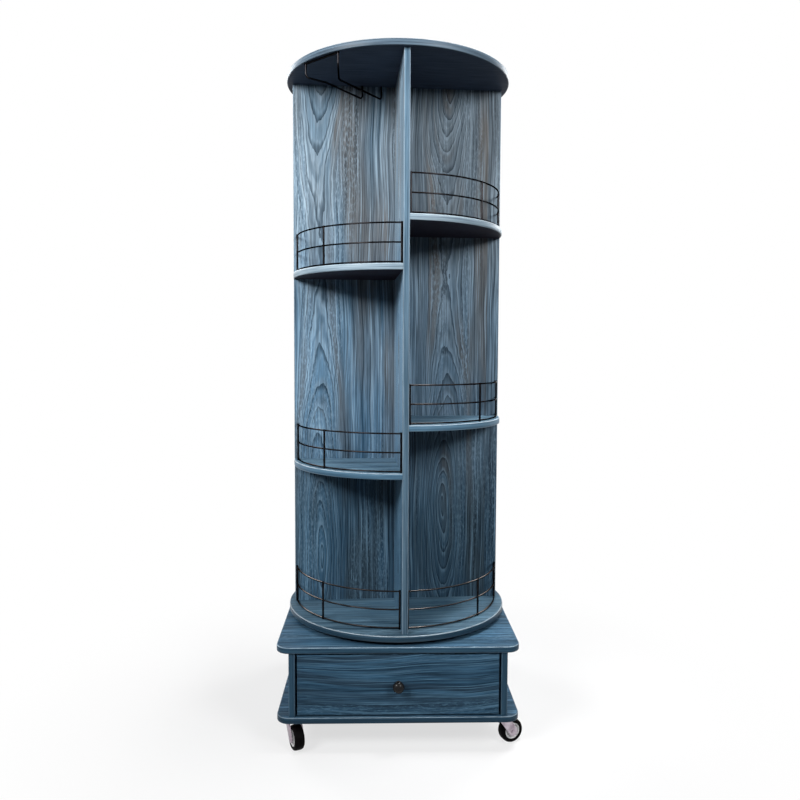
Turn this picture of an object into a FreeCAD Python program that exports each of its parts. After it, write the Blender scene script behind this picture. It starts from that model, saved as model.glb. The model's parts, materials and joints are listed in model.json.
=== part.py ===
import FreeCAD, Part
import Sketcher
import math
import os
import re

# Driving dimensions in millimetres and degrees. The floor is z = 0, the tower turns about the Z axis
# and the drawer opens towards -Y. Left and right are as seen by someone facing that side of the tower.
SIZES = {
    # Boards
    "board": 12.0,  # thickness of every main board
    "edge_round": 1.2,  # rounding of the banded edges
    # Base cabinet
    "base_width": 464.0,
    "base_depth": 464.0,
    "base_corner": 25.0,  # corner radius of the two base boards
    "bay_height": 124.0,  # clear height between the base boards
    "side_inset": 24.0,  # from a board's edge to the side panel's outer face
    "front_setback": 4.0,  # from a board's edge to the side panel's front and back edges
    # Tower
    "shelf_radius": 219.0,  # shelves and dividers
    "disc_lip": 11.0,  # the two discs stand out past the shelves by this
    "panel_trim": 0.5,  # the centre panel is shorter than the shelf radius by this at each end
    "short_bay": 296.0,
    "middle_bay": 380.0,
    "tall_bay": 387.0,
    "rest_turn": 3.25,  # how far the tower stands turned at rest
    # Turntable bearing
    "bearing_gap": 8.0,  # from the base's top to the bottom disc
    "race_radius": 140.0,  # circle of the ball centres
    "ball_diameter": 5.0,
    "ball_pitch": 16.0,  # spacing of the balls along the race
    "race_play": 0.15,  # clearance round a ball
    "ring_width": 18.0,
    "ring_split": 2.0,  # space between the two rings
    "ring_lift": 0.6,  # from a ring to the board that it turns against
    "ring_screws": 6,
    # Gallery rails
    "rail_inset": 7.0,  # from the shelf's edge to the rail's circle
    "rail_wire": 3.0,
    "rail_post": 4.0,
    "rail_foot": 3.0,  # height of the lowest wire above its shelf
    "rail_rise": 72.0,  # from the lowest wire to the highest
    "rail_middle": 43.7,  # direction of the middle post, from the panel
    "rail_end": 29.0,  # from the panel's middle plane to the outer post on a shelf
    "floor_rail_inset": 2.0,  # from the shelf radius to the circle of the bottom disc's rails
    "floor_rail_setback": 24.0,  # the centre of that circle lies behind the tower's axis by this
    "rail_seat": 0.1,  # from a wire or post to the board beside it
    "peg_diameter": 3.0,
    "peg_depth": 8.0,
    # Stemware racks
    "rack_wire": 3.5,
    "rack_drop": 26.5,  # from the ceiling to the wires that carry the feet
    "mouth_inset": 9.0,  # from the top disc's rim to the middle of the front bar
    "mouth_width": 87.0,
    "bar_overhang": 3.0,  # the front bar passes its two hangers by this
    "funnel_x": 20.5,  # from the mouth to the slot, along the panel
    "funnel_y": 46.5,  # from the mouth to the slot, along the divider
    "slot_width": 31.0,  # between the two wires' centres
    "rack_back": 55.5,  # from the divider's plane to the slot's back end
    "rack_wall": 4.0,  # from the panel's face to the back hangers' centres
    "hanger_bend": 7.0,
    "funnel_bend": 25.0,
    "rack_seat": 0.1,  # from the front bar to the ceiling
    # Drawer
    "drawer_gap": 4.0,  # beside the drawer's front
    "drawer_rise": 3.5,  # under and over the drawer's front
    "drawer_board": 10.0,  # drawer sides and back
    "drawer_base": 4.0,  # drawer bottom
    "drawer_side": 92.0,  # height of the drawer's sides
    "drawer_lift": 12.0,  # from the bay's floor to the drawer's sides
    "drawer_clear": 30.0,  # behind the closed drawer
    "groove_lift": 8.0,  # from the sides' lower edge to the drawer bottom
    "groove_depth": 5.0,
    "groove_play": 0.2,
    # Drawer runners
    "runner_space": 12.7,  # from the side panel to the drawer's side
    "runner_height": 30.0,
    "runner_depth": 11.0,
    "runner_wall": 1.2,
    "runner_play": 0.3,  # between the sliding flanges
    "runner_short": 20.0,  # the runners are shorter than the drawer's sides by this
    "runner_start": 2.0,  # from the drawer front's back face to the runners
    # Knob
    "knob_radius": 11.3,
    "knob_crown": 7.0,  # half the height of the knob's head
    "knob_reach": 22.0,
    "knob_neck": 5.5,
    "knob_foot": 8.0,
    "knob_foot_height": 2.5,
    # Casters
    "caster_height": 58.0,
    "caster_side": 29.0,  # from the base board's side edges to the swivel axes
    "caster_front": 36.0,  # from its front and back edges to the swivel axes
    "wheel_radius": 23.5,
    "wheel_width": 20.0,
    "tread_round": 4.5,
    "hub_radius": 15.7,
    "hub_inset": 1.0,  # the hub's rim lies inside the tyre's side by this
    "hub_rim": 2.5,
    "hub_web": 11.0,
    "hub_boss": 5.5,
    "trail": 19.3,  # from the swivel axis to the wheel's centre
    "axle_diameter": 6.0,
    "axle_head": 4.8,
    "axle_head_height": 1.8,
    "fork_gap": 1.0,  # between the tyre and a fork leg
    "fork_wall": 2.0,
    "crown_half": 14.0,
    "crown_wall": 2.5,
    "axle_boss": 7.5,
    "plate_width": 38.0,
    "plate_wall": 2.0,
    "plate_holes": 28.0,
    "swivel_race": 13.0,
    "swivel_height": 4.2,
    "swivel_play": 0.3,
    "kingpin_radius": 2.5,
    "kingpin_head": 5.5,
    "kingpin_head_height": 1.6,
    "swivel_front_left": -65.0,  # directions in which the wheels trail at rest
    "swivel_front_right": 22.4,
    # Fasteners
    "running_fit": 0.05,  # radial clearance of a shaft that turns
    "bore_fit": 0.05,  # radial clearance of a pin, peg, dowel or screw in its bore
    "bore_end": 0.2,  # space past the end of a pin, peg, dowel or screw
    "dowel_diameter": 6.0,
    "dowel_length": 26.0,
    "dowel_seat": 8.0,  # depth of a dowel in the board's face
    "joint_near": 60.0,  # places of the shelf dowels from the tower's axis
    "joint_far": 160.0,
    "post_near": 90.0,  # places of the screws and dowels in the discs
    "post_margin": 24.0,  # from the shelf radius to the outer screws and dowels
    "divider_joint": 150.0,  # from each end of a divider to its nearest dowel
    "joint_stagger": 40.0,  # between the front and the rear divider's dowels
    "base_joint_y": 130.0,
    "base_joint_x": 100.0,
    "drawer_joint": 26.0,  # from the drawer side's middle to its dowels
    "drawer_seat": 6.0,  # depth of a dowel in a drawer side
    "wood_screw": 5.0,
    "wood_screw_head": 5.0,
    "wood_screw_cone": 3.0,
    "wood_screw_length": 45.0,
    "ring_screw": 3.5,
    "ring_screw_head": 3.6,
    "ring_screw_cone": 2.0,
    "ring_screw_length": 16.0,
    "caster_screw": 3.5,
    "caster_screw_head": 3.25,
    "caster_screw_cap": 2.0,
    "caster_screw_length": 9.0,
    "knob_screw": 4.0,
    "knob_screw_head": 4.0,
    "knob_screw_cap": 2.5,
    "knob_screw_grip": 10.0,  # length inside the knob
}

doc = FreeCAD.newDocument("rotating_wine_rack")
sheet = doc.addObject("Spreadsheet::Sheet", "Sizes")
for row, (alias, number) in enumerate(SIZES.items(), start=1):
    sheet.set("A%d" % row, str(number))
    sheet.setAlias("A%d" % row, alias)
doc.recompute()

X = FreeCAD.Vector(1, 0, 0)
Y = FreeCAD.Vector(0, 1, 0)
Z = FreeCAD.Vector(0, 0, 1)
UP = FreeCAD.Rotation()
DOWN = FreeCAD.Rotation(X, 180)
TO_BACK = FreeCAD.Rotation(X, -90)
TO_FRONT = FreeCAD.Rotation(X, 90)
TO_RIGHT = FreeCAD.Rotation(Y, 90)
TO_LEFT = FreeCAD.Rotation(Y, -90)

# Levels and faces that several pieces share
BAY_FLOOR = "(caster_height + board)"
BAY_TOP = "(caster_height + board + bay_height)"
BASE_TOP = "(caster_height + 2 * board + bay_height)"
DISC_FLOOR = "(caster_height + 2 * board + bay_height + bearing_gap)"
TOWER_FLOOR = "(caster_height + 3 * board + bay_height + bearing_gap)"
TOWER_HEIGHT = "(short_bay + middle_bay + tall_bay + 2 * board)"
CEILING = "(%s + %s)" % (TOWER_FLOOR, TOWER_HEIGHT)
DISC_RADIUS = "(shelf_radius + disc_lip)"
RAIL_RADIUS = "(shelf_radius - rail_inset)"
FLOOR_RAIL_RADIUS = "(shelf_radius - floor_rail_inset)"
POST_FAR = "(shelf_radius - post_margin)"
SIDE_MIDDLE = "(base_width / 2 - side_inset - board / 2)"
BAY_HALF = "(base_width / 2 - side_inset - board)"
BASE_FRONT = "(base_depth / 2 - front_setback)"
BOX_HALF = "(%s - runner_space)" % BAY_HALF
BOX_FRONT = "(board - %s)" % BASE_FRONT
BOX_DEPTH = "(2 * %s - 2 * board - drawer_clear)" % BASE_FRONT
SIDE_FLOOR = "(%s + drawer_lift)" % BAY_FLOOR
RUNNER_LEVEL = "(%s + drawer_side / 2)" % SIDE_FLOOR
RUNNER_LENGTH = "(%s - runner_short)" % BOX_DEPTH
RUNNER_FRONT = "(%s + runner_start)" % BOX_FRONT
KNOB_LEVEL = "(%s + bay_height / 2)" % BAY_FLOOR
RACE_LEVEL = "(%s + bearing_gap / 2)" % BASE_TOP
CROWN_TOP = "(caster_height - plate_wall - swivel_height - swivel_play)"
CROWN_FLOOR = "(%s - crown_wall)" % CROWN_TOP
FORK_INNER = "(wheel_width + 2 * fork_gap)"
FORK_OUTER = "(%s + 2 * fork_wall)" % FORK_INNER
SWIVEL_X = "(base_width / 2 - caster_side)"
SWIVEL_Y = "(base_depth / 2 - caster_front)"

# The tower's four quarters: name, quarter turns from the one between +X and +Y, first bay's height
QUARTERS = [
    ("rear_left", 0, "short_bay"),
    ("rear_right", 1, "tall_bay"),
    ("front_left", 2, "short_bay"),
    ("front_right", 3, "tall_bay"),
]

# The casters: name, side in X, side in Y, direction in which the wheel trails
CASTERS = [
    ("front_left", -1, -1, "swivel_front_left"),
    ("front_right", 1, -1, "swivel_front_right"),
    ("rear_left", 1, 1, "(swivel_front_left + 180)"),
    ("rear_right", -1, 1, "(swivel_front_right + 180)"),
]

pieces = []


def formula(text):
    """The text with each size's name pointing at its cell."""
    return re.sub(r"[a-z][a-z_0-9]*", lambda word: cell(word.group()), text)


def cell(word):
    return "Sizes." + word if word in SIZES else word


def value(text):
    """The number that a formula gives."""
    result = sheet.evalExpression(formula(text))
    return float(getattr(result, "Value", result))


def bind(item, **properties):
    for name, text in properties.items():
        item.setExpression(name, formula(text))
    return item


def put(item, x="0", y="0", z="0", turn=None):
    """Tie an object's place, and its turn about Z, to the sheet."""
    for axis, text in (("x", x), ("y", y), ("z", z)):
        item.setExpression("Placement.Base." + axis, formula(text))
    if turn is not None:
        item.setExpression("Placement.Rotation.Angle", formula(turn))
    return item


def piece(item, label):
    """Name an object as one of the sub-parts to be written."""
    item.Label = label
    pieces.append(item)
    return item


def tower_piece(item, label):
    item.setExpression("Placement.Rotation.Angle", formula("rest_turn"))
    return piece(item, label)


# Solids from primitives


def box(length, width, height, x="0", y="0", z="0"):
    item = bind(doc.addObject("Part::Box", "Block"), Length=length, Width=width, Height=height)
    return put(item, x, y, z)


def cylinder(radius, height, x="0", y="0", z="0", turned=UP):
    item = bind(doc.addObject("Part::Cylinder", "Rod"), Radius=radius, Height=height)
    item.Placement = FreeCAD.Placement(FreeCAD.Vector(), turned)
    return put(item, x, y, z)


def cone(radius, top_radius, height, z="0"):
    item = bind(doc.addObject("Part::Cone", "Cone"), Radius1=radius, Radius2=top_radius, Height=height)
    return put(item, z=z)


def cut(base, tool):
    item = doc.addObject("Part::Cut", "Cut")
    item.Base = base
    item.Tool = tool
    return item


def fuse(*items):
    item = doc.addObject("Part::MultiFuse", "Fuse")
    item.Shapes = list(items)
    return item


def together(*items):
    item = doc.addObject("Part::Compound", "Group")
    item.Links = list(items)
    return item


def solid(shape, name):
    item = doc.addObject("Part::Feature", name)
    item.Shape = shape
    return item


def copies(master, places):
    """One object with a separate solid of the master at each place."""
    doc.recompute()
    shapes = []
    for place in places:
        shape = master.Shape.copy()
        shape.Placement = place.multiply(shape.Placement)
        shapes.append(shape)
    return solid(Part.makeCompound(shapes), "Copies")


def spot(x, y, z, turned=UP, quarter=0):
    """A place on the object, swung about the Z axis by quarter turns."""
    place = FreeCAD.Placement(FreeCAD.Vector(value(x), value(y), value(z)), turned)
    return FreeCAD.Placement(FreeCAD.Vector(), FreeCAD.Rotation(Z, 90 * quarter)).multiply(place)


# Solids from sketches


def new_body(name):
    return doc.addObject("PartDesign::Body", name)


def new_sketch(body, role):
    sketch = body.newObject("Sketcher::SketchObject", "Sketch")
    plane = next(item for item in body.Origin.OriginFeatures if item.Role == role)
    sketch.AttachmentSupport = [(plane, "")]
    sketch.MapMode = "FlatFace"
    return sketch


def hold(sketch, text, *constraint):
    """A sketch dimension that is tied to the sheet."""
    index = sketch.addConstraint(Sketcher.Constraint(*constraint, value(text)))
    sketch.setExpression("Constraints[%d]" % index, formula(text))


def add_circle(sketch, radius, x="0", y="0"):
    centre = FreeCAD.Vector(value(x), value(y), 0)
    index = sketch.addGeometry(Part.Circle(centre, Z, value(radius)))
    hold(sketch, radius, "Radius", index)
    if (x, y) == ("0", "0"):
        sketch.addConstraint(Sketcher.Constraint("Coincident", index, 3, -1, 1))
    else:
        hold(sketch, x, "DistanceX", -1, 1, index, 3)
        hold(sketch, y, "DistanceY", -1, 1, index, 3)


def add_outline(sketch, corners):
    """A closed outline of straight lines through corners whose places are tied to the sheet."""
    points = [FreeCAD.Vector(value(x), value(y), 0) for x, y in corners]
    first = sketch.GeometryCount
    count = len(points)
    for index, point in enumerate(points):
        sketch.addGeometry(Part.LineSegment(point, points[(index + 1) % count]))
    for index, (x, y) in enumerate(corners):
        line = first + index
        following = first + (index + 1) % count
        sketch.addConstraint(Sketcher.Constraint("Coincident", line, 2, following, 1))
        hold(sketch, x, "DistanceX", -1, 1, line, 1)
        hold(sketch, y, "DistanceY", -1, 1, line, 1)


def rectangle(half_width, half_depth):
    return [
        ("-" + half_width, "-" + half_depth),
        (half_width, "-" + half_depth),
        (half_width, half_depth),
        ("-" + half_width, half_depth),
    ]


def pad(body, sketch, length, side="One side"):
    feature = body.newObject("PartDesign::Pad", "Pad")
    feature.Profile = sketch
    feature.SideType = side
    return bind(feature, Length=length)


def pocket_through(body, sketch):
    feature = body.newObject("PartDesign::Pocket", "Pocket")
    feature.Profile = sketch
    feature.Type = "ThroughAll"
    feature.SideType = "Symmetric"
    return feature


def round_edges(body, feature, radius, chosen):
    """A fillet on the edges that the test picks."""
    doc.recompute()
    names = ["Edge%d" % (index + 1) for index, edge in enumerate(feature.Shape.Edges) if chosen(edge)]
    fillet = body.newObject("PartDesign::Fillet", "Fillet")
    fillet.Base = (feature, names)
    return bind(fillet, Radius=radius)


def is_upright(edge):
    return edge.BoundBox.ZLength > max(edge.BoundBox.XLength, edge.BoundBox.YLength)


def is_level(edge):
    return edge.BoundBox.ZLength < value("edge_round") / 2


def is_outer_arc(edge):
    return is_level(edge) and isinstance(edge.Curve, Part.Circle)


# Fasteners, each along +Z from the face that its head or end seats on


def countersunk_screw(kind, fit, end):
    """A screw of the named kind, or its bore where a fit and a space past its end are given."""
    neck = "(%s / 2 + %s)" % (kind, fit)
    head = cone("(%s_head + %s)" % (kind, fit), neck, "%s_cone" % kind)
    return fuse(head, cylinder(neck, "(%s_length + %s)" % (kind, end)))


def capped_screw(shank, head, head_height, length):
    cap = cylinder(head, head_height, z="-%s" % head_height)
    return fuse(cap, cylinder("%s / 2" % shank, length))


def dowel():
    return cylinder("dowel_diameter / 2", "dowel_length")


def dowel_bore():
    width = "dowel_diameter / 2 + bore_fit"
    return cylinder(width, "dowel_length + 2 * bore_end", z="-bore_end")


def wood_screw(fit="0", end="0"):
    return countersunk_screw("wood_screw", fit, end)


def ring_screw(fit="0", end="0"):
    return countersunk_screw("ring_screw", fit, end)


def base_joints():
    """Where the base's side and back panels meet its boards."""
    back = "(%s - board / 2)" % BASE_FRONT
    places = [(sign + SIDE_MIDDLE, end + "base_joint_y") for sign in ("-", "") for end in ("-", "")]
    return places + [(sign + "base_joint_x", back) for sign in ("-", "")]


def base_screw_places():
    return [spot(x, y, "caster_height") for x, y in base_joints()]


def base_dowel_places():
    return [spot(x, y, "%s + dowel_seat" % BAY_TOP, DOWN) for x, y in base_joints()]


def ring_screw_places(radius, level, turned):
    count = int(value("ring_screws"))
    places = []
    for index in range(count):
        swing = FreeCAD.Rotation(Z, 360.0 / count * (index + 0.5))
        place = FreeCAD.Placement(FreeCAD.Vector(), swing)
        places.append(place.multiply(spot(radius, "0", level, turned)))
    return places


LOWER_SCREW_CIRCLE = "race_radius - ring_split / 2 - ring_width / 2"
UPPER_SCREW_CIRCLE = "race_radius + ring_split / 2 + ring_width / 2"


def lower_ring_places():
    return ring_screw_places(LOWER_SCREW_CIRCLE, "%s - ring_lift" % DISC_FLOOR, DOWN)


def upper_ring_places():
    return ring_screw_places(UPPER_SCREW_CIRCLE, "%s + ring_lift" % BASE_TOP, UP)


def disc_joints():
    """Where the centre panel and the dividers stand on the bottom disc and carry the top one."""
    return [(radius, quarter) for radius in ("post_near", POST_FAR) for quarter in range(4)]


def tower_screw_places():
    return [spot(radius, "0", DISC_FLOOR, UP, quarter) for radius, quarter in disc_joints()]


def tower_dowel_places():
    ceiling = "%s + dowel_seat" % CEILING
    places = [spot(radius, "0", ceiling, DOWN, quarter) for radius, quarter in disc_joints()]
    for _, quarter, first_bay in QUARTERS:
        for level in shelf_levels(first_bay):
            places += shelf_dowel_places(quarter, level)
    for quarter, stagger in ((0, "0"), (2, "joint_stagger")):
        for height in divider_joint_heights():
            level = "%s + %s + %s" % (TOWER_FLOOR, height, stagger)
            places.append(spot("0", "board / 2 - dowel_seat", level, TO_BACK, quarter))
    return places


def divider_joint_heights():
    return ["divider_joint", "(%s - divider_joint - joint_stagger)" % TOWER_HEIGHT]


def shelf_dowel_places(quarter, level):
    middle = "%s + board / 2" % level
    depth = "board / 2 - dowel_seat"
    places = []
    for reach in ("joint_near", "joint_far"):
        places.append(spot(reach, depth, middle, TO_BACK, quarter))
        places.append(spot(depth, reach, middle, TO_RIGHT, quarter))
    return places


def shelf_levels(first_bay):
    """Undersides of the lower and the upper shelf of a quarter."""
    lower = "(%s + %s)" % (TOWER_FLOOR, first_bay)
    return [lower, "(%s + board + middle_bay)" % lower]


def drawer_dowel_places():
    places = []
    middle = "%s + drawer_side / 2" % SIDE_FLOOR
    side = "(%s - drawer_board / 2)" % BOX_HALF
    back = "%s + %s - drawer_board / 2" % (BOX_FRONT, BOX_DEPTH)
    for offset in (" - drawer_joint", " + drawer_joint"):
        for sign in ("-", ""):
            places.append(spot(sign + side, "%s - dowel_seat" % BOX_FRONT, middle + offset, TO_BACK))
        places.append(spot("%s - drawer_board + drawer_seat" % BOX_HALF, back, middle + offset, TO_LEFT))
        places.append(spot("drawer_board - drawer_seat - %s" % BOX_HALF, back, middle + offset, TO_RIGHT))
    return places


# Base cabinet


def base_board(level):
    body = new_body("BaseBoard")
    sketch = new_sketch(body, "XY_Plane")
    add_outline(sketch, rectangle("base_width / 2", "base_depth / 2"))
    slab = pad(body, sketch, "board")
    rounded = round_edges(body, slab, "base_corner", is_upright)
    round_edges(body, rounded, "edge_round", is_level)
    return put(body, z=level)


def base_side(x):
    body = new_body("BaseSide")
    sketch = new_sketch(body, "XY_Plane")
    add_outline(sketch, rectangle("board / 2", BASE_FRONT))
    round_edges(body, pad(body, sketch, "bay_height"), "edge_round", is_upright)
    return put(body, x, z=BAY_FLOOR)


def make_base():
    screw_bores = copies(wood_screw("bore_fit", "bore_end"), base_screw_places())
    dowel_bores = copies(dowel_bore(), base_dowel_places())
    ring_bores = copies(ring_screw("bore_fit", "bore_end"), lower_ring_places())
    caster_bores = copies(
        cylinder("caster_screw / 2 + bore_fit", "caster_screw_length + bore_end"), caster_screw_places()
    )
    bottom = base_board("caster_height")
    piece(cut(bottom, together(screw_bores, caster_bores)), "base_bottom_board")
    piece(cut(base_board(BAY_TOP), together(dowel_bores, ring_bores)), "base_top_board")
    joints = together(screw_bores, dowel_bores)
    for label, x in (("base_side_left", "-" + SIDE_MIDDLE), ("base_side_right", SIDE_MIDDLE)):
        piece(cut(base_side(x), joints), label)
    back_y = "%s - board" % BASE_FRONT
    back = box("2 * %s" % BAY_HALF, "board", "bay_height", "-" + BAY_HALF, back_y, BAY_FLOOR)
    piece(cut(back, joints), "base_back_panel")
    piece(copies(wood_screw(), base_screw_places()), "base_screws")
    piece(copies(dowel(), base_dowel_places()), "base_dowels")


# Turntable bearing


def turntable_ring(inner, floor, bores):
    height = "bearing_gap - ring_lift"
    tube = cut(
        cylinder("%s + ring_width" % inner, height, z=floor),
        cylinder(inner, height, z=floor),
    )
    race = doc.addObject("Part::Torus", "Race")
    bind(race, Radius1="race_radius", Radius2="ball_diameter / 2 + race_play")
    put(race, z=RACE_LEVEL)
    return cut(tube, together(race, bores))


def make_turntable():
    bores = ring_screw("bore_fit", "bore_end")
    lower = turntable_ring(
        "(race_radius - ring_split / 2 - ring_width)", BASE_TOP, copies(bores, lower_ring_places())
    )
    upper = turntable_ring(
        "(race_radius + ring_split / 2)", "%s + ring_lift" % BASE_TOP, copies(bores, upper_ring_places())
    )
    piece(lower, "turntable_lower_ring")
    piece(copies(ring_screw(), lower_ring_places()), "turntable_lower_screws")
    tower_piece(upper, "turntable_upper_ring")
    tower_piece(copies(ring_screw(), upper_ring_places()), "turntable_upper_screws")
    ball = bind(doc.addObject("Part::Sphere", "Ball"), Radius="ball_diameter / 2")
    count = int(2 * math.pi * value("race_radius") / value("ball_pitch"))
    places = []
    for index in range(count):
        swing = FreeCAD.Placement(FreeCAD.Vector(), FreeCAD.Rotation(Z, 360.0 * index / count))
        places.append(swing.multiply(spot("race_radius", "0", RACE_LEVEL)))
    piece(copies(ball, places), "turntable_balls")


# Tower


def disc(level):
    body = new_body("Disc")
    sketch = new_sketch(body, "XY_Plane")
    add_circle(sketch, DISC_RADIUS)
    round_edges(body, pad(body, sketch, "board"), "edge_round", is_level)
    return put(body, z=level)


def centre_panel():
    body = new_body("Panel")
    sketch = new_sketch(body, "XY_Plane")
    add_outline(sketch, rectangle("(shelf_radius - panel_trim)", "board / 2"))
    round_edges(body, pad(body, sketch, TOWER_HEIGHT), "edge_round", is_upright)
    return put(body, z=TOWER_FLOOR)


def divider(turn):
    body = new_body("Divider")
    sketch = new_sketch(body, "XY_Plane")
    half = "board / 2"
    corners = [("-" + half, half), (half, half), (half, "shelf_radius"), ("-" + half, "shelf_radius")]
    add_outline(sketch, corners)
    front = value("shelf_radius") - value("edge_round")
    slab = pad(body, sketch, TOWER_HEIGHT)
    round_edges(body, slab, "edge_round", lambda edge: is_upright(edge) and edge.BoundBox.YMin > front)
    return put(body, z=TOWER_FLOOR, turn=turn)


def shelf(level, quarter):
    """A quarter disc that meets the panel and a divider with its two straight edges."""
    body = new_body("Shelf")
    sketch = new_sketch(body, "XY_Plane")
    half = value("board / 2")
    radius = value("shelf_radius")
    reach = math.sqrt(radius**2 - half**2)
    start = math.asin(half / radius)
    corner = FreeCAD.Vector(half, half, 0)
    along = sketch.addGeometry(Part.LineSegment(corner, FreeCAD.Vector(reach, half, 0)))
    circle = Part.Circle(FreeCAD.Vector(), Z, radius)
    rim = sketch.addGeometry(Part.ArcOfCircle(circle, start, math.pi / 2 - start))
    across = sketch.addGeometry(Part.LineSegment(FreeCAD.Vector(half, reach, 0), corner))
    for ends in ((along, 2, rim, 1), (rim, 2, across, 1), (across, 2, along, 1), (rim, 3, -1, 1)):
        sketch.addConstraint(Sketcher.Constraint("Coincident", *ends))
    sketch.addConstraint(Sketcher.Constraint("Horizontal", along))
    sketch.addConstraint(Sketcher.Constraint("Vertical", across))
    hold(sketch, "board / 2", "DistanceX", -1, 1, along, 1)
    hold(sketch, "board / 2", "DistanceY", -1, 1, along, 1)
    hold(sketch, "shelf_radius", "Radius", rim)
    round_edges(body, pad(body, sketch, "board"), "edge_round", is_outer_arc)
    return put(body, z=level, turn="%d" % (90 * quarter))


def swing(x, y, quarter):
    """A place swung by quarter turns about the tower's axis, as two formulas."""
    back_x = "-(%s)" % x
    back_y = "-(%s)" % y
    return [(x, y), (back_y, x), (back_x, back_y), (y, back_x)][quarter]


RAIL_WALL = "(board / 2 + rail_seat + rail_post / 2)"


def rail_posts(quarter, radius, setback, end):
    """Where a rail's three posts stand: by the divider, between, and in front of the panel."""
    posts = [
        (RAIL_WALL, "(sqrt(%s^2 - %s^2) - %s)" % (radius, RAIL_WALL, setback)),
        ("%s * cos(rail_middle)" % radius, "(%s * sin(rail_middle) - %s)" % (radius, setback)),
        ("sqrt(%s^2 - (%s + %s)^2)" % (radius, end, setback), end),
    ]
    if quarter % 2:
        posts = [(y, x) for x, y in posts]
    return [swing(x, y, quarter) for x, y in posts]


def rail(quarter, level, radius, setback, end):
    """Three curved wires on three posts, with pegs under the posts."""
    panel_end = "asin((board / 2 + rail_seat + %s) / (%s - rail_wire / 2))" % (setback, radius)
    divider_end = "asin(%s / %s)" % (RAIL_WALL, radius)
    start = divider_end if quarter % 2 else panel_end
    centre = ("-(%s)" % setback, "0") if quarter % 2 else ("0", "-(%s)" % setback)
    x, y = swing(centre[0], centre[1], quarter)
    rods = []
    for step in range(3):
        wire = doc.addObject("Part::Torus", "Wire")
        sweep = "90 deg - %s - %s" % (panel_end, divider_end)
        bind(wire, Radius1=radius, Radius2="rail_wire / 2", Angle3=sweep)
        height = "%s + rail_foot + rail_rise * %d / 2" % (level, step)
        rods.append(put(wire, x, y, height, "%d deg + %s" % (90 * quarter, start)))
    for x, y in rail_posts(quarter, radius, setback, end):
        rods.append(cylinder("rail_post / 2", "rail_foot + rail_rise + rail_post / 2", x, y, level))
        rods.append(cylinder("peg_diameter / 2", "peg_depth + rail_foot", x, y, "%s - peg_depth" % level))
    return fuse(*rods)


def rail_bores():
    bores = []
    depth = "peg_depth + bore_end"
    for _, quarter, first_bay in QUARTERS:
        for level, *plan in rail_plans(first_bay):
            for x, y in rail_posts(quarter, *plan):
                floor = "%s - %s" % (level, depth)
                bores.append(cylinder("peg_diameter / 2 + bore_fit", depth, x, y, floor))
    return bores


def rail_plans(first_bay):
    """Level, radius, setback and outer post's place of the rails of a quarter, from the bottom up."""
    tops = ["(%s + board)" % level for level in shelf_levels(first_bay)]
    floor = (TOWER_FLOOR, FLOOR_RAIL_RADIUS, "floor_rail_setback", RAIL_WALL)
    return [floor] + [(top, RAIL_RADIUS, "0", "rail_end") for top in tops]


def bent_wire(points, bends, radius):
    """A round wire through the points, with an arc of the given radius at each inner one."""
    edges = []
    here = points[0]
    for before, corner, after, bend in zip(points, points[1:], points[2:], bends):
        inward = (before - corner).normalize()
        onward = (after - corner).normalize()
        half_angle = inward.getAngle(onward) / 2
        reach = bend / math.tan(half_angle)
        enter = corner + inward * reach
        leave = corner + onward * reach
        bisector = (inward + onward).normalize()
        crown = corner + bisector * (bend / math.sin(half_angle) - bend)
        edges.append(Part.LineSegment(here, enter).toShape())
        edges.append(Part.Arc(enter, crown, leave).toShape())
        here = leave
    edges.append(Part.LineSegment(here, points[-1]).toShape())
    path = Part.Wire(edges)
    section = Part.Wire(Part.makeCircle(radius, points[0], points[1] - points[0]))
    return path.makePipeShell([section], True, False)


def rack_hangers():
    """Plan of a stemware rack's two wires: mouth, start of the slot and back end of each."""
    mouth = -value("(%s - mouth_inset) * cos(45)" % DISC_RADIUS)
    start = FreeCAD.Vector(mouth + value("funnel_x"), mouth + value("funnel_y"), 0)
    wall = -value("board / 2 + rack_wall")
    back = FreeCAD.Vector(-value("rack_back"), wall, 0)
    along = (back - start).normalize()
    plans = []
    for side in (-1, 1):
        spread = side * value("mouth_width / 2") / math.sqrt(2)
        front = FreeCAD.Vector(mouth + spread, mouth - spread, 0)
        aside = FreeCAD.Vector(along.y, -along.x, 0) * (side * value("slot_width / 2"))
        knee = start + aside
        end = knee + along * ((wall - knee.y) / along.y)
        plans.append((front, knee, end))
    return plans


def stemware_rack():
    """Two wires that hang from the ceiling and carry glass feet between them, and a front bar."""
    ceiling = Z * value(CEILING)
    level = Z * value("%s - rack_drop" % CEILING)
    top = Z * value("%s + peg_depth" % CEILING)
    radius = value("rack_wire / 2")
    bends = [value("hanger_bend"), value("funnel_bend"), value("hanger_bend")]
    plans = rack_hangers()
    wires = []
    for front, knee, end in plans:
        points = [front + top, front + level, knee + level, end + level, end + top]
        wires.append(bent_wire(points, bends, radius))
    run = (plans[1][0] - plans[0][0]).normalize()
    drop = Z * (radius + value("rack_seat"))
    first = plans[0][0] - run * value("bar_overhang") + ceiling - drop
    bar = Part.makeCylinder(radius, value("mouth_width + 2 * bar_overhang"), first, run)
    return wires[0].fuse([wires[1], bar])


def rack_bores():
    depth = value("peg_depth + bore_end")
    radius = value("rack_wire / 2 + bore_fit")
    level = Z * value(CEILING)
    ends = [end for plan in rack_hangers() for end in (plan[0], plan[2])]
    return [Part.makeCylinder(radius, depth, end + level) for end in ends]


def both_sides(shape):
    """The shape and its copy half a turn round the tower's axis."""
    rear = shape.copy()
    rear.rotate(FreeCAD.Vector(), Z, 180)
    return Part.makeCompound([shape, rear])


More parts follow.
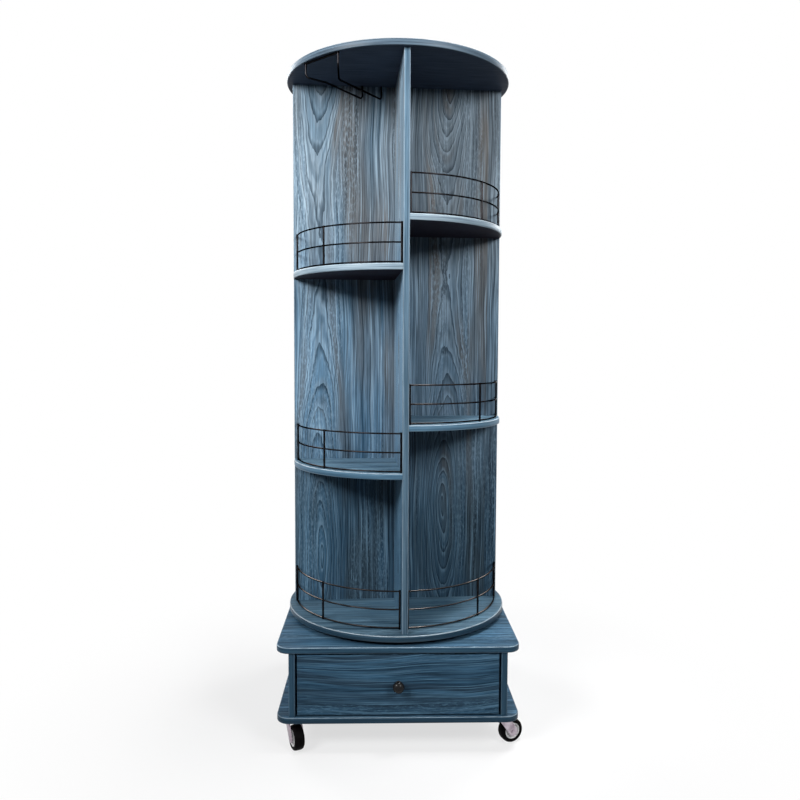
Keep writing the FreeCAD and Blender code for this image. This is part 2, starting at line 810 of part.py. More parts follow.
def make_tower():
    dowel_bores = copies(dowel_bore(), tower_dowel_places())
    screw_bores = copies(wood_screw("bore_fit", "bore_end"), tower_screw_places())
    ring_bores = copies(ring_screw("bore_fit", "bore_end"), upper_ring_places())
    peg_bores = together(*rail_bores())
    hanger_bores = solid(both_sides(Part.makeCompound(rack_bores())), "HangerBores")
    joints = together(dowel_bores, screw_bores)
    floor_bores = together(screw_bores, ring_bores, peg_bores)
    tower_piece(cut(disc(DISC_FLOOR), floor_bores), "bottom_disc")
    tower_piece(cut(disc(CEILING), together(dowel_bores, hanger_bores)), "top_disc")
    tower_piece(cut(centre_panel(), joints), "centre_panel")
    tower_piece(cut(divider("180"), joints), "front_divider")
    tower_piece(cut(divider("0"), joints), "rear_divider")
    shelf_bores = together(dowel_bores, peg_bores)
    for name, quarter, first_bay in QUARTERS:
        for height, level in zip(("lower", "upper"), shelf_levels(first_bay)):
            tower_piece(cut(shelf(level, quarter), shelf_bores), "shelf_%s_%s" % (name, height))
    for side, quarters in (("left", QUARTERS[0::2]), ("right", QUARTERS[1::2])):
        plans = rail_plans(quarters[0][2])
        for height, plan in zip(("bottom", "lower", "upper"), plans):
            rails = [rail(quarter, *plan) for _, quarter, _ in quarters]
            tower_piece(together(*rails), "rails_%s_%s" % (side, height))
    tower_piece(solid(both_sides(stemware_rack()), "Racks"), "stemware_racks")
    tower_piece(copies(wood_screw(), tower_screw_places()), "tower_screws")
    tower_piece(copies(dowel(), tower_dowel_places()), "tower_dowels")


# Drawer


def drawer_front():
    body = new_body("DrawerFront")
    sketch = new_sketch(body, "XZ_Plane")
    add_outline(sketch, rectangle("(%s - drawer_gap)" % BAY_HALF, "(bay_height / 2 - drawer_rise)"))
    slab = pad(body, sketch, "board")
    face = value("edge_round - board")
    round_edges(body, slab, "edge_round", lambda edge: edge.BoundBox.YMax < face)
    return put(body, y=BOX_FRONT, z=KNOB_LEVEL)


def make_drawer():
    dowel_bores = copies(dowel_bore(), drawer_dowel_places())
    groove_half = "(%s - drawer_board + groove_depth)" % BOX_HALF
    groove_front = "(%s - groove_depth)" % BOX_FRONT
    groove_floor = "(%s + groove_lift)" % SIDE_FLOOR
    groove = box(
        "2 * %s" % groove_half,
        "%s + groove_depth" % BOX_DEPTH,
        "drawer_base + 2 * groove_play",
        "-" + groove_half,
        groove_front,
        "%s - groove_play" % groove_floor,
    )
    screw_bore = cylinder("knob_screw / 2 + bore_fit", "board", "0", BOX_FRONT, KNOB_LEVEL, TO_FRONT)
    piece(cut(drawer_front(), together(dowel_bores, groove, screw_bore)), "drawer_front")
    back_half = "(%s - drawer_board)" % BOX_HALF
    for label, x in (("drawer_side_left", "-" + BOX_HALF), ("drawer_side_right", back_half)):
        side = box("drawer_board", BOX_DEPTH, "drawer_side", x, BOX_FRONT, SIDE_FLOOR)
        piece(cut(side, together(dowel_bores, groove)), label)
    back_floor = "(groove_lift + drawer_base + groove_play)"
    back = box(
        "2 * %s" % back_half,
        "drawer_board",
        "drawer_side - %s" % back_floor,
        "-" + back_half,
        "%s + %s - drawer_board" % (BOX_FRONT, BOX_DEPTH),
        "%s + %s" % (SIDE_FLOOR, back_floor),
    )
    piece(cut(back, dowel_bores), "drawer_back")
    bottom_half = "(%s - groove_play)" % groove_half
    bottom = box(
        "2 * %s" % bottom_half,
        "%s + groove_depth - groove_play" % BOX_DEPTH,
        "drawer_base",
        "-" + bottom_half,
        "%s + groove_play" % groove_front,
        groove_floor,
    )
    piece(bottom, "drawer_bottom")
    piece(copies(dowel(), drawer_dowel_places()), "drawer_dowels")
    make_knob()
    make_runners()


def make_knob():
    """A mushroom knob that points to the front, held by a screw from inside the drawer."""
    foot = cylinder("knob_foot", "knob_foot_height")
    neck = cylinder("knob_neck", "knob_reach - knob_crown")
    head = doc.addObject("Part::Ellipsoid", "Head")
    bind(head, Radius1="knob_crown", Radius2="knob_radius", Radius3="knob_radius")
    put(head, z="knob_reach - knob_crown")
    bore = cylinder("knob_screw / 2 + bore_fit", "knob_screw_grip + bore_end")
    knob = cut(fuse(foot, neck, head), bore)
    knob.Placement = FreeCAD.Placement(FreeCAD.Vector(), TO_FRONT)
    piece(put(knob, y="-" + BASE_FRONT, z=KNOB_LEVEL), "drawer_knob")
    screw = capped_screw("knob_screw", "knob_screw_head", "knob_screw_cap", "board + knob_screw_grip")
    screw.Placement = FreeCAD.Placement(FreeCAD.Vector(), TO_FRONT)
    piece(put(screw, y=BOX_FRONT, z=KNOB_LEVEL), "knob_screw")


def make_runners():
    """On each side a channel in the base and, inside it, the drawer's own slide."""
    channels = []
    slides = []
    slide_height = "(runner_height - 2 * runner_wall - 2 * runner_play)"
    slide_depth = "(runner_space - runner_wall - runner_play)"
    for sign in ("", "-"):
        outer = channel("runner_height", "runner_depth", True, BAY_HALF, sign)
        inner = channel(slide_height, slide_depth, False, "(%s + %s)" % (BOX_HALF, slide_depth), sign)
        channels.append(outer)
        slides.append(inner)
    piece(together(*channels), "runner_channels")
    piece(together(*slides), "runner_slides")


def channel(height, depth, web_outside, outer, sign):
    """A rail of C section whose outer face lies at the given distance from the middle plane."""
    inner = "(%s - %s)" % (outer, depth)
    level = "(%s - %s / 2)" % (RUNNER_LEVEL, height)
    hollow_inner = inner if web_outside else "(%s + runner_wall)" % inner
    hollow_depth = "(%s - runner_wall)" % depth
    low = "-(%s)" % outer if sign else inner
    hollow_low = "-(%s + %s)" % (hollow_inner, hollow_depth) if sign else hollow_inner
    block = box(depth, RUNNER_LENGTH, height, low, RUNNER_FRONT, level)
    hollow = box(
        hollow_depth,
        RUNNER_LENGTH,
        "%s - 2 * runner_wall" % height,
        hollow_low,
        RUNNER_FRONT,
        "%s + runner_wall" % level,
    )
    return cut(block, hollow)


# Casters


def caster_points():
    return [(x, y) for y in ("-" + SWIVEL_Y, SWIVEL_Y) for x in ("-" + SWIVEL_X, SWIVEL_X)]


def caster_screw_places():
    places = []
    for x, y in caster_points():
        for aside in ("-", "+"):
            for along in ("-", "+"):
                hole_x = "%s %s plate_holes / 2" % (x, aside)
                hole_y = "%s %s plate_holes / 2" % (y, along)
                places.append(spot(hole_x, hole_y, "caster_height - plate_wall"))
    return places


def make_caster_plates():
    """Screwed-on plates with the swivel's race and the kingpin that carries the fork."""
    floor = "(caster_height - plate_wall)"
    half = "plate_width / 2"
    plate = box("plate_width", "plate_width", "plate_wall", "-" + half, "-" + half, floor)
    race = cylinder("swivel_race", "swivel_height", z="%s + swivel_play" % CROWN_TOP)
    head_floor = "(%s - swivel_play - kingpin_head_height)" % CROWN_FLOOR
    kingpin = cylinder("kingpin_radius", "%s - %s" % (floor, head_floor), z=head_floor)
    head = cylinder("kingpin_head", "kingpin_head_height", z=head_floor)
    holes = []
    for x in ("-plate_holes / 2", "plate_holes / 2"):
        for y in ("-plate_holes / 2", "plate_holes / 2"):
            holes.append(cylinder("caster_screw / 2 + bore_fit", "plate_wall", x, y, floor))
    master = cut(fuse(plate, race, kingpin, head), together(*holes))
    piece(copies(master, [spot(x, y, "0") for x, y in caster_points()]), "caster_plates")
    screw = capped_screw("caster_screw", "caster_screw_head", "caster_screw_cap", "caster_screw_length")
    piece(copies(screw, caster_screw_places()), "caster_screws")


def fork():
    """An inverted U whose legs taper from the crown to the axle, trailing towards +X."""
    body = new_body("Fork")
    sketch = new_sketch(body, "XZ_Plane")
    add_outline(
        sketch,
        [
            ("-crown_half", CROWN_TOP),
            ("crown_half", CROWN_TOP),
            ("trail + axle_boss", "wheel_radius"),
            ("trail - axle_boss", "wheel_radius"),
        ],
    )
    pad(body, sketch, FORK_OUTER, "Symmetric")
    boss = new_sketch(body, "XZ_Plane")
    add_circle(boss, "axle_boss", "trail", "wheel_radius")
    pad(body, boss, FORK_OUTER, "Symmetric")
    wheel_room = new_sketch(body, "YZ_Plane")
    half = "%s / 2" % FORK_INNER
    room = [("-" + half, "0"), (half, "0"), (half, CROWN_FLOOR), ("-" + half, CROWN_FLOOR)]
    add_outline(wheel_room, room)
    pocket_through(body, wheel_room)
    axle_hole = new_sketch(body, "XZ_Plane")
    add_circle(axle_hole, "axle_diameter / 2 + bore_fit", "trail", "wheel_radius")
    pocket_through(body, axle_hole)
    swivel_hole = new_sketch(body, "XY_Plane")
    add_circle(swivel_hole, "kingpin_radius + running_fit")
    pocket_through(body, swivel_hole)
    return body


def axle():
    """A riveted axle across the fork's legs."""
    length = "(%s + 2 * axle_head_height)" % FORK_OUTER
    near_end = "-%s / 2" % length
    far_leg = "%s / 2" % FORK_OUTER
    parts = [cylinder("axle_diameter / 2", length, "trail", near_end, "wheel_radius", TO_BACK)]
    for y in (near_end, far_leg):
        parts.append(cylinder("axle_head", "axle_head_height", "trail", y, "wheel_radius", TO_BACK))
    return fuse(*parts)


def hub():
    body = new_body("Hub")
    bore_radius = "axle_diameter / 2 + running_fit"
    web = new_sketch(body, "XZ_Plane")
    add_circle(web, "hub_radius")
    pad(body, web, "hub_web", "Symmetric")
    rim = new_sketch(body, "XZ_Plane")
    add_circle(rim, "hub_radius")
    add_circle(rim, "hub_radius - hub_rim")
    pad(body, rim, "wheel_width - 2 * hub_inset", "Symmetric")
    boss = new_sketch(body, "XZ_Plane")
    add_circle(boss, "hub_boss")
    pad(body, boss, "%s - 2 * swivel_play" % FORK_INNER, "Symmetric")
    bore = new_sketch(body, "XZ_Plane")
    add_circle(bore, bore_radius)
    pocket_through(body, bore)
    return body


def tyre():
    body = new_body("Tyre")
    sketch = new_sketch(body, "XZ_Plane")
    add_circle(sketch, "wheel_radius")
    add_circle(sketch, "hub_radius + bore_fit")
    ring = pad(body, sketch, "wheel_width", "Symmetric")
    tread = value("hub_radius + wheel_radius") / 2

    def is_shoulder(edge):
        return isinstance(edge.Curve, Part.Circle) and edge.Curve.Radius > tread

    round_edges(body, ring, "tread_round", is_shoulder)
    return body


def make_casters():
    make_caster_plates()
    for name, side_x, side_y, direction in CASTERS:
        x = "%d * %s" % (side_x, SWIVEL_X)
        y = "%d * %s" % (side_y, SWIVEL_Y)
        wheel_x = "%s + trail * cos(%s)" % (x, direction)
        wheel_y = "%s + trail * sin(%s)" % (y, direction)
        piece(put(together(fork(), axle()), x, y, turn=direction), "caster_fork_%s" % name)
        piece(put(hub(), wheel_x, wheel_y, "wheel_radius", direction), "wheel_hub_%s" % name)
        piece(put(tyre(), wheel_x, wheel_y, "wheel_radius", direction), "wheel_tyre_%s" % name)


def check_document():
    """Stop before anything is written if an object failed or a sub-part's shape isn't sound."""
    for item in doc.Objects:
        if "Invalid" in item.State or "Error" in item.State:
            raise RuntimeError("%s (%s) failed: %s" % (item.Name, item.Label, item.State))
    for item in pieces:
        if item.Shape.isNull() or not item.Shape.isValid() or not item.Shape.Solids:
            raise RuntimeError("%s has no sound shape" % item.Label)


def write_parts():
    os.makedirs("parts", exist_ok=True)
    for item in pieces:
        item.Shape.exportStep("parts/%s.step" % item.Label)
        print("%-28s %2d solids %12.1f mm3" % (item.Label, len(item.Shape.Solids), item.Shape.Volume))
    print("%d sub-parts" % len(pieces))


make_base()
make_turntable()
make_tower()
make_drawer()
make_casters()
doc.recompute()
check_document()
write_parts()
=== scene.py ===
"""Looks of a rotating wine rack: a blue-stained tower of quarter shelves on a drawer base with casters."""

import json
import logging
import math
from dataclasses import dataclass, replace
from enum import Enum
from typing import Callable, Iterable, NamedTuple, Sequence, Union

import bmesh
import bpy
from mathutils import Matrix, Vector


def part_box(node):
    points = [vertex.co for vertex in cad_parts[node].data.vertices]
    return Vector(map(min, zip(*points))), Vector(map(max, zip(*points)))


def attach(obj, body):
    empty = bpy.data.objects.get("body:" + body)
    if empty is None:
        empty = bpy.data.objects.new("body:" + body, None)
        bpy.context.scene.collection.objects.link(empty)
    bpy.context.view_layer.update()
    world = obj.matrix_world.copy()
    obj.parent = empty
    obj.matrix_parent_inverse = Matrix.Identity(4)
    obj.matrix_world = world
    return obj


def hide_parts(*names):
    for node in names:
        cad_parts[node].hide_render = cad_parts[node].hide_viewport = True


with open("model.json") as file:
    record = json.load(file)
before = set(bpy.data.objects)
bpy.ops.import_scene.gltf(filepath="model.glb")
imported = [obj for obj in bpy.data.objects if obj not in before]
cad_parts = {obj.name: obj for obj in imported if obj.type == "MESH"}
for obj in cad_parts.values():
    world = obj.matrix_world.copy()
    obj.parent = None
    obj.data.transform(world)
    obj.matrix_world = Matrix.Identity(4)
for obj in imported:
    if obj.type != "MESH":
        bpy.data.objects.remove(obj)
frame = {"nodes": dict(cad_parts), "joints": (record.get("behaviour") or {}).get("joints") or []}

LOG = logging.getLogger("wine_rack")
MM = 0.001
SLACK = 0.01 * MM
MERGE_WITHIN = 0.002 * MM
REST_TURN = math.radians(3.25)
CORNERS = ("front_left", "front_right", "rear_left", "rear_right")
ARRIS = "arris"
# Marked arrises that face above this lean take the full pale line of wear and painted highlight; those that
# face lower take only a small share of it.
LOOKS_LEVEL = -0.05
UNDERSIDE_LINE_SHARE = 0.15

Socket = bpy.types.NodeSocket
Shape = bmesh.types.BMesh
EdgeTest = Callable[[bmesh.types.BMEdge], bool]
Pair = tuple[float, float]
Outline = Sequence[Pair]
Triple = tuple[float, float, float]
Colour = tuple[float, float, float, float]
Tint = Union[Colour, Socket]
Number = Union[float, Socket]
Inputs = dict[Union[int, str], object]

WHITE: Colour = (1.0, 1.0, 1.0, 1.0)


def paint(red: int, green: int, blue: int) -> Colour:
    """Turn an eight-bit paint colour into the linear colour that a shader takes.

    Args:
        red: Red, from 0 to 255.
        green: Green, from 0 to 255.
        blue: Blue, from 0 to 255.

    Returns:
        The linear colour with full opacity.
    """
    linear = []
    for part in (red / 255, green / 255, blue / 255):
        linear.append(part / 12.92 if part <= 0.04045 else ((part + 0.055) / 1.055) ** 2.4)
    return (*linear, 1.0)


class BoardLay(Enum):
    """How a board lies: its axes across the grain, along the grain and through the board."""

    FACE_UPRIGHT = (0, 2, 1)
    FACE_ACROSS = (2, 0, 1)
    SIDE_UPRIGHT = (1, 2, 0)
    SIDE_ACROSS = (2, 1, 0)
    LEVEL = (1, 0, 2)


class BandRun(Enum):
    """The direction in which an edge band's streaks run, as waves per metre along X, Y and Z."""

    LEVEL = (5.0, 5.0, 330.0)
    UPRIGHT = (330.0, 330.0, 5.0)


class Span(NamedTuple):
    """A range of a value, and the range to which it is stretched."""

    low: float
    high: float
    to_low: float = 0.0
    to_high: float = 1.0


class Beat(NamedTuple):
    """Noise along one value: waves per unit, finer layers and their strength."""

    rate: float
    detail: float = 1.0
    rough: float = 0.5


class Waves(NamedTuple):
    """Noise on a board: waves per metre across and along the grain, finer layers and their strength."""

    across: float
    along: float
    detail: float = 1.0
    rough: float = 0.5


class NodeSheet:
    """The sheet of shader nodes of a material or of the surroundings."""

    def __init__(self, owner: Union[bpy.types.Material, bpy.types.World]) -> None:
        """Start an empty sheet.

        Args:
            owner: What the sheet belongs to.
        """
        owner.use_nodes = True
        self.tree = owner.node_tree
        self.tree.nodes.clear()

    def add(self, kind: str, inputs: Inputs | None = None, **settings: object) -> bpy.types.Node:
        """Add a node.

        Args:
            kind: Blender's type name of the node.
            inputs: The sockets, numbers, vectors or colours for its inputs, by the inputs' numbers or names.
            settings: Properties to set on it.

        Returns:
            The new node.
        """
        node = self.tree.nodes.new(kind)
        for key, value in settings.items():
            setattr(node, key, value)
        for key, value in (inputs or {}).items():
            if isinstance(value, bpy.types.NodeSocket):
                self.tree.links.new(value, node.inputs[key])
            else:
                node.inputs[key].default_value = value
        return node

    def shade(self, **values: object) -> Socket:
        """Add a Principled shader; its sockets are named with underscores for spaces."""
        inputs = {key.replace("_", " "): value for key, value in values.items()}
        return self.add("ShaderNodeBsdfPrincipled", inputs).outputs["BSDF"]

    def mix(self, share: Socket, first: Socket, second: Socket) -> Socket:
        """Mix two shaders by the second one's share."""
        return self.add("ShaderNodeMixShader", {0: share, 1: first, 2: second}).outputs[0]

    def seen(self) -> Socket:
        """Tell rays that show the surroundings from rays that only light the rack.

        Returns:
            1 for camera, glossy and transmission rays, and 0 for the others.
        """
        rays = self.add("ShaderNodeLightPath").outputs
        bounced = self.calc("MAXIMUM", rays["Is Glossy Ray"], rays["Is Transmission Ray"])
        return self.calc("MAXIMUM", rays["Is Camera Ray"], bounced)

    def place(self, turn: float = 0.0, shift: Triple = (0.0, 0.0, 0.0)) -> Socket:
        """Give the piece's own coordinates in metres.

        Args:
            turn: The piece's turn at rest about the upright axis, in radians, which is taken back out.
            shift: What is added afterwards.

        Returns:
            The coordinate vector.
        """
        where = self.add("ShaderNodeTexCoord").outputs["Object"]
        inputs = {"Vector": where, "Rotation": (0.0, 0.0, -turn), "Location": shift}
        return self.add("ShaderNodeMapping", inputs).outputs["Vector"]

    def board(self, lay: BoardLay, turn: float, shift: Triple) -> tuple[Socket, Socket]:
        """Give a board's coordinates: across the grain, along it and through the board.

        Args:
            lay: How the board lies.
            turn: The board's turn at rest, in radians.
            shift: What is added to the coordinates.

        Returns:
            The coordinate vector, and the distance along the grain by itself.
        """
        parts = self.split(self.place(turn, shift))
        across, along, through = (parts[axis] for axis in lay.value)
        return self.add("ShaderNodeCombineXYZ", {0: across, 1: along, 2: through}).outputs[0], along

    def split(self, vector: Socket) -> Sequence[Socket]:
        """Take a vector apart into its X, Y and Z."""
        return self.add("ShaderNodeSeparateXYZ", {0: vector}).outputs

    def upward(self, normal: str) -> Socket:
        """Tell how far the surface's named normal points up, from -1 to 1."""
        return self.split(self.add("ShaderNodeNewGeometry").outputs[normal])[2]

    def length(self, vector: Socket) -> Socket:
        """Give a vector's length."""
        return self.add("ShaderNodeVectorMath", {0: vector}, operation="LENGTH").outputs["Value"]

    def stretch(self, vector: Socket, scale: Triple) -> Socket:
        """Multiply a vector by a scale on each axis."""
        return self.add("ShaderNodeVectorMath", {0: vector, 1: scale}, operation="MULTIPLY").outputs[0]

    def nudge(self, vector: Socket, aside: Socket) -> Socket:
        """Add a number to a vector's first axis."""
        shift = self.add("ShaderNodeCombineXYZ", {0: aside}).outputs[0]
        return self.add("ShaderNodeVectorMath", {0: vector, 1: shift}, operation="ADD").outputs[0]

    def noise(self, vector: Socket, scale: Triple, detail: float = 2.0, rough: float = 0.5) -> Socket:
        """Make soft noise from 0 to 1, with so many waves per metre on each axis."""
        inputs = {"Vector": self.stretch(vector, scale), "Scale": 1.0, "Detail": detail, "Roughness": rough}
        return self.add("ShaderNodeTexNoise", inputs, noise_dimensions="3D").outputs[0]

    def cloud(self, vector: Socket, rate: float, detail: float = 2.0, rough: float = 0.5) -> Socket:
        """Make soft noise from 0 to 1 that is even in all directions."""
        return self.noise(vector, (rate, rate, rate), detail, rough)

    def grain(self, spot: Socket, waves: Waves, fine: float = 1.0) -> Socket:
        """Make noise from 0 to 1 that runs with a board's grain, and is narrower where the grain is finer."""
        scale = (waves.across * fine, waves.along, waves.across * fine)
        return self.noise(spot, scale, waves.detail, waves.rough)

    def beat(self, value: Socket, beat: Beat) -> Socket:
        """Make noise from 0 to 1 along one value, so that it follows that value's contour lines."""
        inputs = {"W": value, "Scale": beat.rate, "Detail": beat.detail, "Roughness": beat.rough}
        return self.add("ShaderNodeTexNoise", inputs, noise_dimensions="1D").outputs[0]

    def lot(self, value: Socket, salt: float) -> Socket:
        """Draw a fixed lot from 0 to 1 for each whole number; the salt tells one draw from another."""
        inputs = {"W": self.calc("ADD", value, salt)}
        return self.add("ShaderNodeTexWhiteNoise", inputs, noise_dimensions="1D").outputs["Value"]

    def calc(self, operation: str, first: Number, second: Number = 0.0, third: Number = 0.0) -> Socket:
        """Do one of Blender's sums on up to three numbers."""
        return self.add("ShaderNodeMath", {0: first, 1: second, 2: third}, operation=operation).outputs[0]

    def lerp(self, share: Number, first: Socket, second: Socket) -> Socket:
        """Go from one number to another by the second one's share."""
        return self.calc("MULTIPLY_ADD", self.calc("SUBTRACT", second, first), share, first)

    def between(self, value: Socket, span: Span) -> Socket:
        """Stretch a span of a value smoothly to the span's own range and clamp it there."""
        inputs = dict(enumerate((value, *span)))
        return self.add("ShaderNodeMapRange", inputs, interpolation_type="SMOOTHSTEP").outputs[0]

    def blend(self, share: Socket, first: Tint, second: Tint) -> Socket:
        """Go from one colour to another by the second one's share."""
        return self.add("ShaderNodeMix", {0: share, 6: first, 7: second}, data_type="RGBA").outputs[2]

    def touch(self, tint: Tint, colour: Tint, value: Socket, span: Span, share: Socket) -> Socket:
        """Lay a colour over a tint where a value lies in a span, by a share."""
        strength = self.calc("MULTIPLY", self.between(value, span), share)
        return self.blend(strength, tint, colour)

    def ramp(self, value: Socket, places: Pair, dark: Colour, pale: Colour) -> Socket:
        """Turn a value into a colour along a straight ramp.

        Args:
            value: The value.
            places: Where the ramp starts and where it stops.
            dark: The colour at its start.
            pale: The colour at its stop.

        Returns:
            The colour.
        """
        node = self.add("ShaderNodeValToRGB", {0: value})
        for element, where, colour in zip(node.color_ramp.elements, places, (dark, pale)):
            element.position = where
            element.color = colour
        return node.outputs[0]

    def brighten(self, tint: Socket, factor: Socket) -> Socket:
        """Multiply a colour by a number."""
        return self.add("ShaderNodeVectorMath", {0: tint, "Scale": factor}, operation="SCALE").outputs[0]

    def bump(self, height: Socket, depth: float, strength: float = 0.5) -> Socket:
        """Give the normals of a surface raised by a height from 0 to 1, where 1 is the depth in metres."""
        inputs = {"Strength": strength, "Distance": depth, "Height": height}
        return self.add("ShaderNodeBump", inputs).outputs["Normal"]


class BlueWalnut(NamedTuple):
    """The colours of a blue-stained walnut print."""

    deep: Tint
    middle: Tint
    light: Tint
    smoke: Tint
    vein: Tint

    @classmethod
    def stain(cls, *paints: tuple[int, int, int]) -> "BlueWalnut":
        """Mix the print's colours from eight-bit paints, in their order."""
        return cls(*(paint(*parts) for parts in paints))


# Copies of one blue walnut print. WAIST_WALNUT and LOWER_WALNUT are darker copies that paint shade lower down
# the panel and dividers; BASE_WALNUT and DRAWER_WALNUT are darker copies that paint part of the shade on the
# low base and drawer.
UPPER_WALNUT = BlueWalnut.stain((58, 80, 97), (98, 119, 135), (146, 165, 179), (104, 104, 104), (38, 49, 59))
WAIST_WALNUT = BlueWalnut.stain((50, 77, 98), (89, 121, 146), (144, 173, 195), (95, 103, 110), (31, 44, 56))
LOWER_WALNUT = BlueWalnut.stain((28, 54, 75), (61, 94, 119), (116, 149, 172), (58, 75, 87), (17, 31, 43))
SHELF_WALNUT = BlueWalnut.stain((58, 88, 109), (94, 128, 151), (140, 172, 192), (90, 107, 118), (38, 56, 70))
DISC_WALNUT = BlueWalnut.stain((52, 81, 101), (84, 117, 139), (124, 157, 177), (80, 98, 110), (34, 52, 66))
BASE_WALNUT = BlueWalnut.stain((39, 71, 96), (64, 102, 131), (108, 148, 176), (66, 88, 104), (23, 41, 58))
DRAWER_WALNUT = BlueWalnut.stain((42, 71, 93), (60, 96, 123), (95, 134, 161), (44, 62, 78), (27, 44, 60))

# Noises of the walnut print on every board.
STREAKS = Waves(120.0, 1.8, 3.0, 0.6)
FIBRES = Waves(380.0, 12.0, 3.0, 0.65)
LINES = Waves(250.0, 4.0, 2.0)
PORES = Waves(1100.0, 30.0)
FLECKS = Waves(480.0, 95.0, 2.0, 0.6)
SILK = Waves(24.0, 1.5)
SWAY = Waves(4.0, 4.0, 1.0, 0.4)
RING_TONE = Beat(0.7, 3.0, 0.62)
# Noises of boards with hearts.
HEART_LEAN = Waves(1.5, 3.2, 1.0, 0.4)
HEART_CLIMB = Waves(2.0, 5.0, 1.0, 0.4)
HEART_WAVER = Waves(70.0, 18.0, 2.0)
PATCHES = Waves(16.0, 2.6)
STAVE_WIDTHS = Beat(9.0)
HEART_SMOKE = Beat(0.42)
SMOKE_LOT, TONE_LOT = 6.6, 2.2
# Noises of plain boards.
COLUMN_WANDER = Waves(4.5, 0.7, 1.0, 0.4)
RING_DRIFT = Waves(5.0, 1.3, 1.0, 0.4)
RING_WAVER = Waves(40.0, 6.0, 2.0)
ARCH_ZONES = Waves(11.0, 1.1)
PLAIN_SMOKE = Beat(0.15)

# Spans of those noises that show, and the range in which most of any noise lies.
USUAL: Pair = (0.3, 0.7)
DEEP_TO_MIDDLE = Span(0.32, 0.5)
MIDDLE_TO_LIGHT = Span(0.5, 0.68)
RING_EDGE = Span(0.7, 0.97, 0.0, 0.75)
RING_GLEAM = Span(0.34, 0.06, 0.0, 0.5)
LINE_SHINE = Span(0.55, 0.65, 0.0, 0.6)
LINE_GROOVE = Span(0.45, 0.36, 0.0, 0.6)
FLECK = Span(0.46, 0.66)
SILKY = Span(0.5, 0.64, 0.0, 0.45)
PORE = Span(0.6, 0.7)
FIBRE_TONES: Pair = (0.28, 0.72)
FIBRE_GLOSS = Span(0.2, 0.8, 0.58, 0.48)
# Where faces look down far enough to take the painted underside shade.
LOOKS_DOWN = Span(-0.4, -0.6)
PATCHED = Span(0.36, 0.6)
SMOKED_STAVES = Span(0.5, 0.75)
SMOKED_RINGS = Span(0.45, 0.62)
ARCHED = Span(0.4, 0.56, 0.2, 0.85)
SMOKED_PLAIN = Span(0.42, 0.68)


@dataclass(frozen=True)
class Finish:
    """A finish, of which each kind makes its surface in its own way."""

    name: str

    def surface(self, sheet: NodeSheet) -> Socket:
        """Lay the finish's nodes on its sheet and give their last shader."""
        raise NotImplementedError(self.name)

    def make(self) -> bpy.types.Material:
        """Make the finish's material.

        Returns:
            The material.
        """
        material = bpy.data.materials.new(self.name)
        sheet = NodeSheet(material)
        sheet.add("ShaderNodeOutputMaterial", {"Surface": self.surface(sheet)})
        return material


@dataclass(frozen=True)
class PaintedShadeFade:
    """How painted shade darkens a board's colours downwards: its waist and foot colours, and the heights
    where it leaves each of them.
    """

    waist: BlueWalnut = WAIST_WALNUT
    foot: BlueWalnut = LOWER_WALNUT
    from_foot: Span = Span(0.36, 0.66)
    from_waist: Span = Span(0.8, 1.1)

    def mix(self, sheet: NodeSheet, top: BlueWalnut) -> BlueWalnut:
        """Mix the colours, darkened lower down as painted shade, at each height.

        Args:
            sheet: The finish's node sheet.
            top: The colours at the board's top.

        Returns:
            The mixed colours.
        """
        height = sheet.split(sheet.place())[2]
        above_foot = sheet.between(height, self.from_foot)
        above_waist = sheet.between(height, self.from_waist)
        lower = [sheet.blend(above_foot, *pair) for pair in zip(self.foot, self.waist)]
        return BlueWalnut(*(sheet.blend(above_waist, *pair) for pair in zip(lower, top)))


@dataclass(frozen=True)
class Heart:
    """A flitch's heart: its place across the board, its eye along it, the run of its arches and its smoke."""

    place: float
    eye: float
    run: float
    smoke: float = 0.0


@dataclass(frozen=True)
class Figure:
    """What a board's figure gives at each point: ring count, share of arches, shift of tone, smoke."""

    rings: Socket
    arched: Socket
    shift: Number
    smoky: Socket


